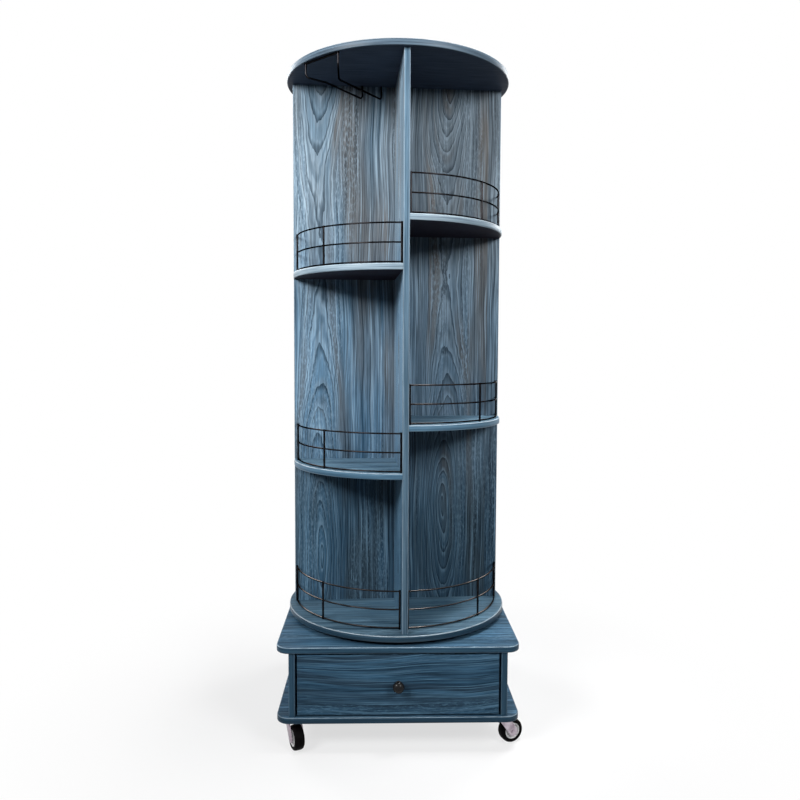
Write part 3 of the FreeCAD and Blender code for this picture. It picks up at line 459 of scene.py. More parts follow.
@dataclass(frozen=True)
class LaminateFinish(Finish):
    """Satin laminate with a walnut figure of arches, streaks, flecks and pores.

    The figure is that of flitches laid side by side, each with its heart, or that of one plain sheet with
    columns of arches. Lengths are in metres and rates per metre.
    """

    lay: BoardLay
    walnut: BlueWalnut
    turn: float = 0.0
    shift: Triple = (0.0, 0.0, 0.0)
    hearts: tuple[Heart, ...] = ()
    heart_rate: float = 175.0
    heart_lean: float = 0.05
    heart_climb: float = 0.1
    heart_edge: Pair = (1.6, 0.85)
    heart_strength: float = 0.82
    pith_depth: float = 0.055
    stave: float = 0.038
    stave_spread: float = 1.6
    stave_tones: float = 0.1
    column: float = 0.145
    column_wander: float = 6.0
    ring_rate: float = 185.0
    ring_waver: float = 0.7
    flank_run: float = 5.2
    arch_point: float = 0.96
    rise: float = 13.0
    drift: float = 34.0
    arches: float = 1.0
    grain: float = 1.0
    sway: float = 0.012
    fibres: float = 0.26
    haze: float = 0.62
    tone: float = 0.98
    pore_shade: float = 0.16
    pore_depth: float = 0.7
    relief: float = 0.12 * MM
    shine: float = 0.06
    # Painted light and shade that changes the colour with the distance from the upright axis.
    rim: Span | None = None
    # A dark colour painted on faces that look down, as painted shade on the undersides.
    painted_underside_shade: Colour | None = None
    # Darkening down the board, as painted shade.
    fade: PaintedShadeFade | None = None

    def surface(self, sheet: NodeSheet) -> Socket:
        """Lay the print with its tones, its sheen and its pores.

        Args:
            sheet: The finish's node sheet.

        Returns:
            The shader.
        """
        plain, along = sheet.board(self.lay, self.turn, self.shift)
        aside = sheet.calc("MULTIPLY_ADD", sheet.grain(plain, SWAY), 2 * self.sway, -self.sway)
        spot = sheet.nudge(plain, aside)
        figure = self._hearted(sheet, plain, along) if self.hearts else self._plain(sheet, spot, along)
        tint = self._tint(sheet, spot, figure)
        # Painted shade: faces that look down take the dark underside colour.
        if self.painted_underside_shade is not None:
            tint = sheet.blend(sheet.between(sheet.upward("True Normal"), LOOKS_DOWN), tint, self.painted_underside_shade)
        fibre = sheet.grain(spot, FIBRES, self.grain)
        dash = sheet.between(sheet.grain(spot, PORES), PORE)
        tones = Span(*FIBRE_TONES, self.tone - self.fibres, self.tone + self.fibres)
        factor = sheet.calc("MULTIPLY_ADD", dash, -self.pore_shade, sheet.between(fibre, tones))
        # Painted light and shade: the colour changes with the distance from the upright axis.
        if self.rim is not None:
            reach = sheet.length(sheet.stretch(sheet.place(), (1.0, 1.0, 0.0)))
            factor = sheet.calc("MULTIPLY", factor, sheet.between(reach, self.rim))
        height = sheet.calc("MULTIPLY_ADD", dash, -self.pore_depth, fibre)
        return sheet.shade(
            Base_Color=sheet.brighten(tint, factor),
            Roughness=sheet.between(fibre, FIBRE_GLOSS),
            Specular_IOR_Level=self.shine,
            Normal=sheet.bump(height, self.relief),
        )

    def _tint(self, sheet: NodeSheet, spot: Socket, figure: Figure) -> Socket:
        """Colour the board by rings in its arches, streaks and lines beside them, and flecks over both.

        Args:
            sheet: The finish's node sheet.
            spot: The board's swayed coordinates.
            figure: The board's figure.

        Returns:
            The colour.
        """
        # Where the board fades, its colours darken lower down as painted shade.
        print_colours = self.walnut if self.fade is None else self.fade.mix(sheet, self.walnut)
        streak = sheet.calc("ADD", sheet.grain(spot, STREAKS, self.grain), figure.shift)
        tone = sheet.lerp(figure.arched, streak, sheet.beat(figure.rings, RING_TONE))
        tint = sheet.blend(sheet.between(tone, DEEP_TO_MIDDLE), print_colours.deep, print_colours.middle)
        tint = sheet.blend(sheet.between(tone, MIDDLE_TO_LIGHT), tint, print_colours.light)
        tint = sheet.blend(figure.smoky, tint, print_colours.smoke)
        within = sheet.calc("FRACT", figure.rings)
        lines = sheet.grain(spot, LINES, self.grain)
        straight = sheet.calc("SUBTRACT", 1.0, figure.arched)
        silk = sheet.between(sheet.grain(spot, SILK), SILKY)
        for colour, value, span, share in (
            (print_colours.vein, within, RING_EDGE, figure.arched),
            (print_colours.light, within, RING_GLEAM, figure.arched),
            (print_colours.light, lines, LINE_SHINE, straight),
            (print_colours.vein, lines, LINE_GROOVE, straight),
            (print_colours.light, sheet.grain(spot, FLECKS), FLECK, silk),
        ):
            tint = sheet.touch(tint, colour, value, span, share)
        return tint

    def _hearted(self, sheet: NodeSheet, spot: Socket, along: Socket) -> Figure:
        """Lay flitches side by side: nested arches and eyes round each one's heart, straight grain beside it.

        Args:
            sheet: The finish's node sheet.
            spot: The board's coordinates.
            along: The distance along the grain.

        Returns:
            The board's figure.
        """
        side = sheet.split(spot)[0]
        level = sheet.calc("ADD", side, -self.heart_lean / 2)
        across = sheet.calc("MULTIPLY_ADD", sheet.grain(spot, HEART_LEAN), self.heart_lean, level)
        climb = sheet.calc("MULTIPLY_ADD", sheet.grain(spot, HEART_CLIMB), self.heart_climb, along)
        before = self.hearts[0]
        aside, depth = self._cut(sheet, across, climb, before)
        ground = before.smoke
        for heart in self.hearts[1:]:
            joint = (before.place + heart.place) / 2 + self.shift[self.lay.value[0]]
            beyond = sheet.calc("GREATER_THAN", across, joint)
            next_aside, next_depth = self._cut(sheet, across, climb, heart)
            aside = sheet.lerp(beyond, aside, next_aside)
            depth = sheet.lerp(beyond, depth, next_depth)
            ground = sheet.calc("MULTIPLY_ADD", beyond, heart.smoke - before.smoke, ground)
            before = heart
        radius = sheet.calc("SQRT", sheet.calc("ADD", aside, depth))
        waver = sheet.calc("MULTIPLY", sheet.grain(spot, HEART_WAVER), self.ring_waver)
        rings = sheet.calc("MULTIPLY_ADD", radius, self.heart_rate, waver)
        edge = Span(*(staves * self.stave for staves in self.heart_edge))
        near = sheet.between(sheet.calc("SQRT", aside), edge)

        uneven = sheet.calc("MULTIPLY", sheet.beat(side, STAVE_WIDTHS), self.stave_spread)
        stave = sheet.calc("FLOOR", sheet.calc("MULTIPLY_ADD", side, 1 / self.stave, uneven))
        by_stave = sheet.between(sheet.lot(stave, SMOKE_LOT), SMOKED_STAVES)
        by_ring = sheet.between(sheet.beat(rings, HEART_SMOKE), SMOKED_RINGS)
        patch = sheet.between(sheet.grain(spot, PATCHES), PATCHED)
        share = sheet.calc("MULTIPLY", sheet.lerp(near, by_stave, by_ring), patch)
        smoky = sheet.calc("MINIMUM", sheet.calc("MULTIPLY_ADD", share, self.haze, ground), 1.0)
        drawn = sheet.lot(stave, TONE_LOT)
        shift = sheet.calc("MULTIPLY_ADD", drawn, self.stave_tones, -self.stave_tones / 2)
        return Figure(rings, sheet.calc("MULTIPLY", near, self.heart_strength), shift, smoky)

    def _cut(self, sheet: NodeSheet, across: Socket, along: Socket, heart: Heart) -> tuple[Socket, Socket]:
        """Measure how a flitch was cut from its log.

        Args:
            sheet: The finish's node sheet.
            across: The distance across the grain.
            along: The distance along the grain.
            heart: The flitch's heart.

        Returns:
            The squared distance to the side of the heart, and the squared depth over the pith.
        """
        side_axis, run_axis = self.lay.value[:2]
        off = sheet.calc("SUBTRACT", across, heart.place + self.shift[side_axis])
        swing = sheet.calc("SUBTRACT", along, heart.eye + self.shift[run_axis])
        bend = sheet.calc("SINE", sheet.calc("MULTIPLY", swing, math.pi / heart.run))
        over = sheet.calc("MULTIPLY", bend, self.pith_depth)
        return sheet.calc("MULTIPLY", off, off), sheet.calc("MULTIPLY", over, over)

    def _plain(self, sheet: NodeSheet, spot: Socket, along: Socket) -> Figure:
        """Lay one wide sheet: columns of arches where it was cut along a ring, straight flanks between them.

        Args:
            sheet: The finish's node sheet.
            spot: The board's swayed coordinates.
            along: The distance along the grain.

        Returns:
            The board's figure.
        """
        phase = sheet.calc("MULTIPLY", sheet.grain(spot, COLUMN_WANDER), self.column_wander)
        swing = sheet.calc("MULTIPLY_ADD", sheet.split(spot)[0], math.tau / self.column, phase)
        tooth = sheet.calc("ARCSINE", sheet.calc("MULTIPLY", sheet.calc("SINE", swing), self.arch_point))
        flank = sheet.calc("MULTIPLY", tooth, self.ring_rate * self.column / self.flank_run)
        climb = sheet.calc("MULTIPLY", along, self.rise)
        steps = sheet.calc("MULTIPLY_ADD", sheet.grain(spot, RING_DRIFT), self.drift, climb)
        count = sheet.calc("ADD", flank, steps)
        rings = sheet.calc("MULTIPLY_ADD", sheet.grain(spot, RING_WAVER), self.ring_waver, count)
        zones = ARCHED._replace(to_low=ARCHED.to_low * self.arches, to_high=ARCHED.to_high * self.arches)
        arched = sheet.between(sheet.grain(spot, ARCH_ZONES), zones)
        smoky = sheet.between(sheet.beat(rings, PLAIN_SMOKE), SMOKED_PLAIN._replace(to_high=self.haze))
        return Figure(rings, arched, 0.0, smoky)


@dataclass(frozen=True)
class EdgeBandFinish(Finish):
    """Thin edging with streaks along the edge and a pale line on its arrises, partly edge wear and partly a
    painted highlight.
    """

    run: BandRun
    dark: Colour
    pale: Colour
    wear_and_highlight: Colour
    pale_line_strength: float = 0.8
    fineness: float = 3.0
    broad_share: float = 0.7
    tones: Pair = (0.38, 0.6)
    rub_rate: float = 30.0
    rubbed: Pair = (0.3, 0.6)
    gloss: Span = Span(*USUAL, 0.36, 0.46)
    shine: float = 0.14
    relief: float = 0.06 * MM

    def surface(self, sheet: NodeSheet) -> Socket:
        """Lay the streaks and the pale arris line of wear and painted highlight.

        Args:
            sheet: The finish's node sheet.

        Returns:
            The shader.
        """
        spot = sheet.place()
        broad = sheet.noise(spot, self.run.value, detail=3.0, rough=0.62)
        fine = sheet.noise(spot, tuple(self.fineness * rate for rate in self.run.value), rough=0.6)
        tint = sheet.ramp(sheet.lerp(self.broad_share, fine, broad), self.tones, self.dark, self.pale)
        # The pale arris line, partly wear and partly a painted highlight, laid in patches on the marked
        # rounding.
        arris = sheet.add("ShaderNodeAttribute", attribute_name=ARRIS).outputs["Fac"]
        rub = sheet.cloud(spot, self.rub_rate)
        pale_line_strength = Span(*self.rubbed, self.pale_line_strength / 2, self.pale_line_strength)
        return sheet.shade(
            Base_Color=sheet.touch(tint, self.wear_and_highlight, rub, pale_line_strength, arris),
            Roughness=sheet.between(fine, self.gloss),
            Specular_IOR_Level=self.shine,
            Normal=sheet.bump(fine, self.relief),
        )


@dataclass(frozen=True)
class WireFinish(Finish):
    """Gloss black plating with a faint orange peel, and a painted highlight: a paler colour along the top of
    each wire.
    """

    dark: Colour = paint(20, 19, 21)
    pale: Colour = paint(31, 30, 31)
    # Paler colour painted along the tops of the wires as a highlight.
    wear_and_highlight: Colour = paint(126, 120, 117)
    glint: Colour = paint(60, 60, 62)
    dull_rate: float = 40.0
    gloss: Span = Span(*USUAL, 0.12, 0.19)
    painted_highlight_top: Span = Span(0.5, 0.97)
    painted_highlight_share: Span = Span(*USUAL, 0.7, 1.0)
    peel_rate: float = 900.0
    peel_depth: float = 0.05 * MM
    relief: float = 0.4

    def surface(self, sheet: NodeSheet) -> Socket:
        """Lay the plating and the painted highlight along the top of each wire.

        Args:
            sheet: The finish's node sheet.

        Returns:
            The shader.
        """
        spot = sheet.place()
        dull = sheet.cloud(spot, self.dull_rate)
        black = sheet.ramp(dull, USUAL, self.dark, self.pale)
        # Painted highlight: faces that point up take the paler colour, in patches.
        share = sheet.between(dull, self.painted_highlight_share)
        return sheet.shade(
            Base_Color=sheet.touch(black, self.wear_and_highlight, sheet.upward("Normal"), self.painted_highlight_top, share),
            Metallic=1.0,
            Roughness=sheet.between(dull, self.gloss),
            Specular_Tint=self.glint,
            Normal=sheet.bump(sheet.cloud(spot, self.peel_rate), self.peel_depth, self.relief),
        )


@dataclass(frozen=True)
class PlasticFinish(Finish):
    """Moulded plastic or rubber with cloudy tones and a fine texture."""

    dark: Colour
    pale: Colour
    rough: float
    depth: float = 0.02 * MM
    shine: float = 0.5
    rough_spread: float = 0.12
    cloud_rate: float = 110.0
    tones: Pair = (0.34, 0.68)
    fine_rates: Triple = (1400.0, 1400.0, 1400.0)
    fine_dulls: float = 0.0
    relief: float = 0.5
    metallic: float = 0.0

    def surface(self, sheet: NodeSheet) -> Socket:
        """Lay the tones and the fine texture.

        Args:
            sheet: The finish's node sheet.

        Returns:
            The shader.
        """
        spot = sheet.place()
        cloud = sheet.cloud(spot, self.cloud_rate, detail=3.0, rough=0.6)
        fine = sheet.noise(spot, self.fine_rates, rough=0.6)
        rough = sheet.between(cloud, Span(*USUAL, self.rough, self.rough + self.rough_spread))
        return sheet.shade(
            Base_Color=sheet.ramp(cloud, self.tones, self.dark, self.pale),
            Metallic=self.metallic,
            Roughness=sheet.calc("MULTIPLY_ADD", fine, self.fine_dulls, rough),
            Specular_IOR_Level=self.shine,
            Normal=sheet.bump(fine, self.depth, self.relief),
        )


@dataclass(frozen=True)
class MetalFinish(PlasticFinish):
    """Plated or bare metal with a cloudy plate and fine scratches, laid as plastic is."""

    rough_spread: float = 0.16
    cloud_rate: float = 70.0
    tones: Pair = (0.32, 0.66)
    fine_rates: Triple = (1500.0, 1500.0, 60.0)
    fine_dulls: float = 0.08
    relief: float = 0.4
    metallic: float = 1.0


@dataclass(frozen=True)
class TimberFinish(Finish):
    """Bare turned wood with straight fibres."""

    dark: Colour
    pale: Colour
    fibre_rates: Triple = (600.0, 600.0, 30.0)
    gloss: Span = Span(0.2, 0.8, 0.7, 0.55)
    relief: float = 0.1 * MM

    def surface(self, sheet: NodeSheet) -> Socket:
        """Lay the fibres.

        Args:
            sheet: The finish's node sheet.

        Returns:
            The shader.
        """
        fibre = sheet.noise(sheet.place(), self.fibre_rates, detail=3.0, rough=0.6)
        return sheet.shade(
            Base_Color=sheet.ramp(fibre, USUAL, self.dark, self.pale),
            Roughness=sheet.between(fibre, self.gloss),
            Normal=sheet.bump(fibre, self.relief),
        )


@dataclass(frozen=True)
class FloorFinish(Finish):
    """A pale floor that fades to white away from the rack, and is grey to rays that only light the rack."""

    pale: Colour = paint(240, 240, 241)
    bounce: Colour = (0.3, 0.3, 0.305, 1.0)
    fade: Span = Span(0.3, 0.9, 0.68, 1.0)
    rough: float = 0.9
    shine: float = 0.1

    def surface(self, sheet: NodeSheet) -> Socket:
        """Lay the floor, which keeps the rack's shadow.

        Args:
            sheet: The finish's node sheet.

        Returns:
            The shader.
        """
        near = sheet.shade(Base_Color=self.pale, Roughness=self.rough, Specular_IOR_Level=self.shine)
        white = sheet.add("ShaderNodeEmission").outputs[0]
        shown = sheet.mix(sheet.between(sheet.length(sheet.place()), self.fade), near, white)
        grey = sheet.add("ShaderNodeBsdfDiffuse", {"Color": self.bounce}).outputs[0]
        return sheet.mix(sheet.seen(), grey, shown)


def dress(finish: Finish, *nodes: str) -> bpy.types.Material:
    """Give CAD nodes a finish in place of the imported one.

    Args:
        finish: The finish.
        nodes: The nodes' names.

    Returns:
        The finish's material.
    """
    material = finish.make()
    for name in nodes:
        mesh = frame["nodes"][name].data
        mesh.materials.clear()
        mesh.materials.append(material)
        LOG.info("dressed %s in %s", name, material.name)
    return material


@dataclass(frozen=True)
class Ticket:
    """What a new piece is: its name, the body that carries it, its record slot and the nodes it replaces."""

    name: str
    body: str
    slot: str
    stands_for: tuple[str, ...] = ()


def hand_over(
    shape: Shape, ticket: Ticket, material: bpy.types.Material, crease_deg: float = 35.0
) -> bpy.types.Object:
    """Turn a finished bmesh into a piece of the rack.

    Args:
        shape: The bmesh, which is freed.
        ticket: What the piece is.
        material: Its material.
        crease_deg: Edges sharper than this stay sharp.

    Returns:
        The piece's object.
    """
    mesh = bpy.data.meshes.new(ticket.name)
    for face in shape.faces:
        face.smooth = True
    shape.to_mesh(mesh)
    shape.free()
    mesh.set_sharp_from_angle(angle=math.radians(crease_deg))
    mesh.materials.append(material)
    piece = bpy.data.objects.new(ticket.name, mesh)
    bpy.context.scene.collection.objects.link(piece)
    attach(piece, ticket.body)
    if ticket.stands_for:
        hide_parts(*ticket.stands_for)
    LOG.info("built %s on %s, %d faces", ticket.name, ticket.body, len(mesh.polygons))
    return piece


def seal(shape: Shape) -> None:
    """Merge doubled vertices and point every face outwards."""
    bmesh.ops.remove_doubles(shape, verts=shape.verts, dist=MERGE_WITHIN)
    bmesh.ops.recalc_face_normals(shape, faces=shape.faces)


def move(shape: Shape, way: Iterable[float]) -> None:
    """Move a whole bmesh."""
    bmesh.ops.translate(shape, verts=shape.verts, vec=Vector(way))


def turn_about(shape: Shape, angle: float, axis: str = "Z") -> None:
    """Turn a whole bmesh by radians about an axis through the origin."""
    bmesh.ops.rotate(shape, cent=(0, 0, 0), matrix=Matrix.Rotation(angle, 3, axis), verts=shape.verts)


def thicken(shape: Shape, faces: Iterable[bmesh.types.BMFace], way: Iterable[float]) -> None:
    """Pull flat faces out to a solid.

    Args:
        shape: The bmesh.
        faces: The faces.
        way: How far they are pulled, and where to.
    """
    raised = bmesh.ops.extrude_face_region(shape, geom=list(faces))
    moved = [item for item in raised["geom"] if isinstance(item, bmesh.types.BMVert)]
    bmesh.ops.translate(shape, verts=moved, vec=Vector(way))


def round_over(shape: Shape, chosen: EdgeTest, width: float, steps: int = 3) -> None:
    """Round the chosen edges, and mark the rounding where the shape keeps such marks, less on its underside;
    the mark carries a pale line of wear and painted highlight, so it is weaker where little light falls.

    Args:
        shape: The bmesh.
        chosen: Says whether an edge is rounded.
        width: Width of the rounding, in metres.
        steps: Number of facets across it.
    """
    rounded = bmesh.ops.bevel(
        shape, geom=[edge for edge in shape.edges if chosen(edge)], offset=width, offset_type="OFFSET",
        segments=steps, profile=0.5, affect="EDGES", clamp_overlap=True, material=-1,
    )
    mark = shape.faces.layers.float.get(ARRIS)
    if mark is not None:
        # Painted highlight with wear: rounding that faces up gets the full pale line, rounding that faces
        # down a small share.
        for face in rounded["faces"]:
            face.normal_update()
            face[mark] = 1.0 if face.normal.z > LOOKS_LEVEL else UNDERSIDE_LINE_SHARE


def start_band() -> Shape:
    """Start the shape of an edge band, whose rounded arrises are marked.

    Returns:
        The empty bmesh.
    """
    shape = bmesh.new()
    shape.faces.layers.float.new(ARRIS)
    return shape


def lathe(outline: Outline, steps: int) -> Shape:
    """Turn an outline about the Y axis.

    Args:
        outline: Radius and place along Y of each point, in millimetres, from one end to the other.
        steps: Number of facets round the axis.

    Returns:
        The turned shape, closed at the axis or along the outline's ends.
    """
    shape = bmesh.new()
    points = [shape.verts.new((radius * MM, along * MM, 0.0)) for radius, along in outline]
    edges = [shape.edges.new(pair) for pair in zip(points, points[1:])]
    if outline[0][0] > 0 and outline[-1][0] > 0:
        edges.append(shape.edges.new((points[-1], points[0])))
    bmesh.ops.spin(
        shape, geom=points + edges, cent=(0, 0, 0), axis=(0, 1, 0), angle=math.tau, steps=steps,
        use_merge=True, use_duplicate=False,
    )
    seal(shape)
    return shape


def outer_arris(centre: Vector) -> EdgeTest:
    """Choose the level edges at the outside of a band.

    Args:
        centre: The middle of the band's board.

    Returns:
        The test for an edge.
    """
    faces_out = 0.5

    def test(edge: bmesh.types.BMEdge) -> bool:
        """Say whether the edge is level and borders an upright outer face.

        Args:
            edge: The edge.

        Returns:
            Whether it is chosen.
        """
        first, second = (vert.co for vert in edge.verts)
        outward = ((first + second) / 2 - centre).xy.normalized()
        walled = any(face.normal.xy.dot(outward) > faces_out for face in edge.link_faces)
        return walled and abs(first.z - second.z) < SLACK

    return test


@dataclass(frozen=True)
class Edging:
    """Edge bands: how far one reaches over its board's faces, stands proud of the edge, and is rounded."""

    lip: float = 1.9 * MM
    proud: float = 0.3 * MM
    cover: float = 0.03 * MM
    rounding: float = 1.5 * MM
    disc_steps: int = 180
    arc_steps: int = 48
    corner_steps: int = 10
    long_share: float = 0.6

    def round_band(
        self, radius: float, low: float, high: float, start: float = 0.0, sweep: float = math.tau
    ) -> Shape:
        """Make a band along a round edge, or all round a disc.

        Args:
            radius: The edge's radius.
            low: The board's lower face.
            high: The board's upper face.
            start: Where the band starts, in radians from the X axis.
            sweep: How far it runs, in radians.

        Returns:
            The band.
        """
        shape = start_band()
        inner, outer = radius - self.lip, radius + self.proud
        low, high = low - self.cover, high + self.cover
        corners = ((inner, low), (outer, low), (outer, high), (inner, high))
        points = [shape.verts.new((x, 0.0, z)) for x, z in corners]
        closed = sweep == math.tau
        if closed:
            section = [*points, *(shape.edges.new(pair) for pair in zip(points, (*points[1:], points[0])))]
        else:
            face = shape.faces.new(points)
            section = [face, *face.edges, *face.verts]
        bmesh.ops.spin(
            shape, geom=section, cent=(0, 0, 0), axis=(0, 0, 1), angle=sweep,
            steps=self.disc_steps if closed else self.arc_steps, use_merge=closed, use_duplicate=False,
        )
        seal(shape)
        round_over(shape, outer_arris(Vector()), self.rounding)
        turn_about(shape, start)
        return shape

    def board_band(self, low: Vector, high: Vector, corner: float) -> Shape:
        """Make a band all round a level board with rounded corners.

        Args:
            low: The board's lowest corner.
            high: The board's highest corner.
            corner: Radius of its corners.

        Returns:
            The band.
        """
        shape = start_band()
        left, front = low.x - self.proud, low.y - self.proud
        right, back = high.x + self.proud, high.y + self.proud
        spots = ((left, front), (right, front), (right, back), (left, back))
        face = shape.faces.new([shape.verts.new((x, y, low.z - self.cover)) for x, y in spots])
        if corner > 0:
            bmesh.ops.bevel(
                shape, geom=list(face.verts), offset=corner + self.proud, offset_type="OFFSET",
                segments=self.corner_steps, profile=0.5, affect="VERTICES", clamp_overlap=True, material=-1,
            )
        shape.faces.ensure_lookup_table()
        plate = shape.faces[0]
        bmesh.ops.inset_region(
            shape, faces=[plate], thickness=self.lip + self.proud, use_boundary=True, use_even_offset=True
        )
        bmesh.ops.delete(shape, geom=[plate], context="FACES_ONLY")
        thicken(shape, shape.faces, (0, 0, high.z - low.z + 2 * self.cover))
        seal(shape)
        round_over(shape, outer_arris((low + high) / 2), self.rounding)
        return shape

    def bar(self, low: Vector, high: Vector, facing: Vector) -> Shape:
        """Make a straight band on a board's narrow edge.

        Args:
            low: Lowest corner of the board's edge strip, as deep as the board goes under the band's lip.
            high: Highest corner of that strip.
            facing: The direction in which the edge faces.

        Returns:
            The band.
        """
        shape = start_band()
        bmesh.ops.create_cube(shape, size=1.0)
        size = high - low
        bmesh.ops.scale(shape, vec=size, verts=shape.verts)
        move(shape, (low + high) / 2)
        outer = max(vert.co.dot(facing) for vert in shape.verts) - SLACK
        least = self.long_share * max(size)

        def test(edge: bmesh.types.BMEdge) -> bool:
            """Say whether the edge runs along the band on its outer face."""
            run = (edge.verts[0].co - edge.verts[1].co).length
            return run > least and all(vert.co.dot(facing) > outer for vert in edge.verts)

        round_over(shape, test, self.rounding)
        bmesh.ops.recalc_face_normals(shape, faces=shape.faces)
        return shape


@dataclass
class Tower:
    """The turning tower: two discs, a centre panel, two dividers, eight quarter shelves, rails and racks."""

    shelf_radius: float = 219.0 * MM
    disc_radius: float = 230.0 * MM
    panel_half: float = 218.5 * MM
    board: float = 12.0 * MM
    edging: Edging = Edging()
    quarters: tuple[str, ...] = ("rear_left", "rear_right", "front_left", "front_right")

    def shelves(self) -> list[tuple[int, str]]:
        """List the shelves, of which the rear ones are named from behind.

        Returns:
            Each shelf's quarter, as a number of quarter turns from the X axis, and its name.
        """
        return [
            (turn, f"shelf_{quarter}_{level}")
            for turn, quarter in enumerate(self.quarters)
            for level in ("lower", "upper")
        ]

    def dress(self) -> None:
        """Dress the tower's boards and wires."""
        # The panel, and the divider made from it, darken lower down as painted shade.
        panel = LaminateFinish(
            "blue_walnut_panel", BoardLay.FACE_UPRIGHT, UPPER_WALNUT, REST_TURN, grain=1.5, fibres=0.36,
            haze=0.85, hearts=(Heart(-0.165, 0.37, 1.3), Heart(0.105, 0.47, 1.0, 0.35)), fade=PaintedShadeFade(),
        )
        divider = replace(
            panel, name="blue_walnut_divider", lay=BoardLay.SIDE_UPRIGHT, shift=(3.1, 0.4, 1.7),
            hearts=(Heart(-0.12, 0.7, 1.1), Heart(0.12, 0.6, 1.2)), tone=1.15,
        )
        # The shelves and both discs carry a dark painted shade on faces that look down.
        shelf = LaminateFinish(
            "blue_walnut_shelf", BoardLay.LEVEL, SHELF_WALNUT, REST_TURN, (5.3, 2.2, 0.9), arches=0.4,
            haze=0.3, painted_underside_shade=paint(31, 28, 38),
        )
        roof = replace(shelf, name="blue_walnut_top_disc", walnut=DISC_WALNUT, painted_underside_shade=paint(60, 70, 86))
        # The bottom disc is painted brighter in the middle and darker towards its rim, as painted light and
        # shade.
        floor = replace(roof, name="blue_walnut_bottom_disc", tone=1.06, rim=Span(0.13, 0.222, 1.2, 0.7))
        dress(panel, "centre_panel")
        dress(divider, "front_divider", "rear_divider")
        dress(shelf, *(name for _, name in self.shelves()))
        dress(roof, "top_disc")
        dress(floor, "bottom_disc")
        rails = [f"rails_{side}_{bay}" for side in ("left", "right") for bay in ("bottom", "lower", "upper")]
        dress(WireFinish("black_gloss_wire"), *rails, "stemware_racks")

    def build(self) -> None:
        """Build the edge bands of the tower's boards."""
        # The pale arris colour of each edging is partly wear and partly a painted highlight.
        wear_and_highlight, level = paint(176, 192, 203), BandRun.LEVEL
        upper = EdgeBandFinish("upper_shelf_edging", level, paint(80, 99, 113), paint(140, 158, 170), wear_and_highlight)
        # The lower shelves' edging and the bottom disc's edging are darker copies: painted shade on edges
        # lower down.
        lower = EdgeBandFinish("lower_shelf_edging", level, paint(50, 80, 102), paint(90, 124, 147), wear_and_highlight)
        top = EdgeBandFinish(
            "top_disc_edging", level, paint(44, 58, 70), paint(84, 102, 117), paint(120, 138, 152), 0.5
        )
        foot = EdgeBandFinish("bottom_disc_edging", level, paint(27, 50, 66), paint(53, 80, 99), wear_and_highlight, 0.75)
        upright = EdgeBandFinish(
            "tower_upright_edging", BandRun.UPRIGHT, paint(50, 73, 90), paint(92, 118, 137), wear_and_highlight, 0.3
        )
        self._disc_bands({"top_disc": top.make(), "bottom_disc": foot.make()})
        self._shelf_bands({"upper": upper.make(), "lower": lower.make()})
        self._upright_bands(upright.make())

    def _disc_bands(self, edgings: dict[str, bpy.types.Material]) -> None:
        """Band the two discs.

        Args:
            edgings: Each disc's name and its edging.
        """
        for disc, material in edgings.items():
            low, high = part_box(disc)
            shape = self.edging.round_band(self.disc_radius, low.z, high.z)
            hand_over(shape, Ticket(f"{disc}_edging", "tower", "blue_laminate"), material)

    def _shelf_bands(self, edgings: dict[str, bpy.types.Material]) -> None:
        """Band the round edges of the quarter shelves.

        Args:
            edgings: The edging of each level.
        """
        trim = math.asin(self.board / 2 / self.shelf_radius)
        for turn, shelf in self.shelves():
            low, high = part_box(shelf)
            start = turn * math.pi / 2 + trim + REST_TURN
            shape = self.edging.round_band(self.shelf_radius, low.z, high.z, start, math.pi / 2 - 2 * trim)
            ticket = Ticket(f"{shelf}_edging", "tower", "blue_laminate")
            hand_over(shape, ticket, edgings[shelf.rpartition("_")[2]])

    def _upright_bands(self, material: bpy.types.Material) -> None:
        """Band the centre panel's two ends and the dividers' outer edges.

        Args:
            material: The edging.
        """
        low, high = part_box("centre_panel")
        half = self.board / 2 + self.edging.cover
        for name, reach, angle in (
            ("centre_panel_right", self.panel_half, 0.0),
            ("centre_panel_left", self.panel_half, math.pi),
            ("rear_divider", self.shelf_radius, math.pi / 2),
            ("front_divider", self.shelf_radius, -math.pi / 2),
        ):
            shape = self.edging.bar(
                Vector((reach - self.edging.lip, -half, low.z)),
                Vector((reach + self.edging.proud, half, high.z)),
                Vector((1, 0, 0)),
            )
            turn_about(shape, angle + REST_TURN)
            hand_over(shape, Ticket(f"{name}_edging", "tower", "blue_laminate"), material)


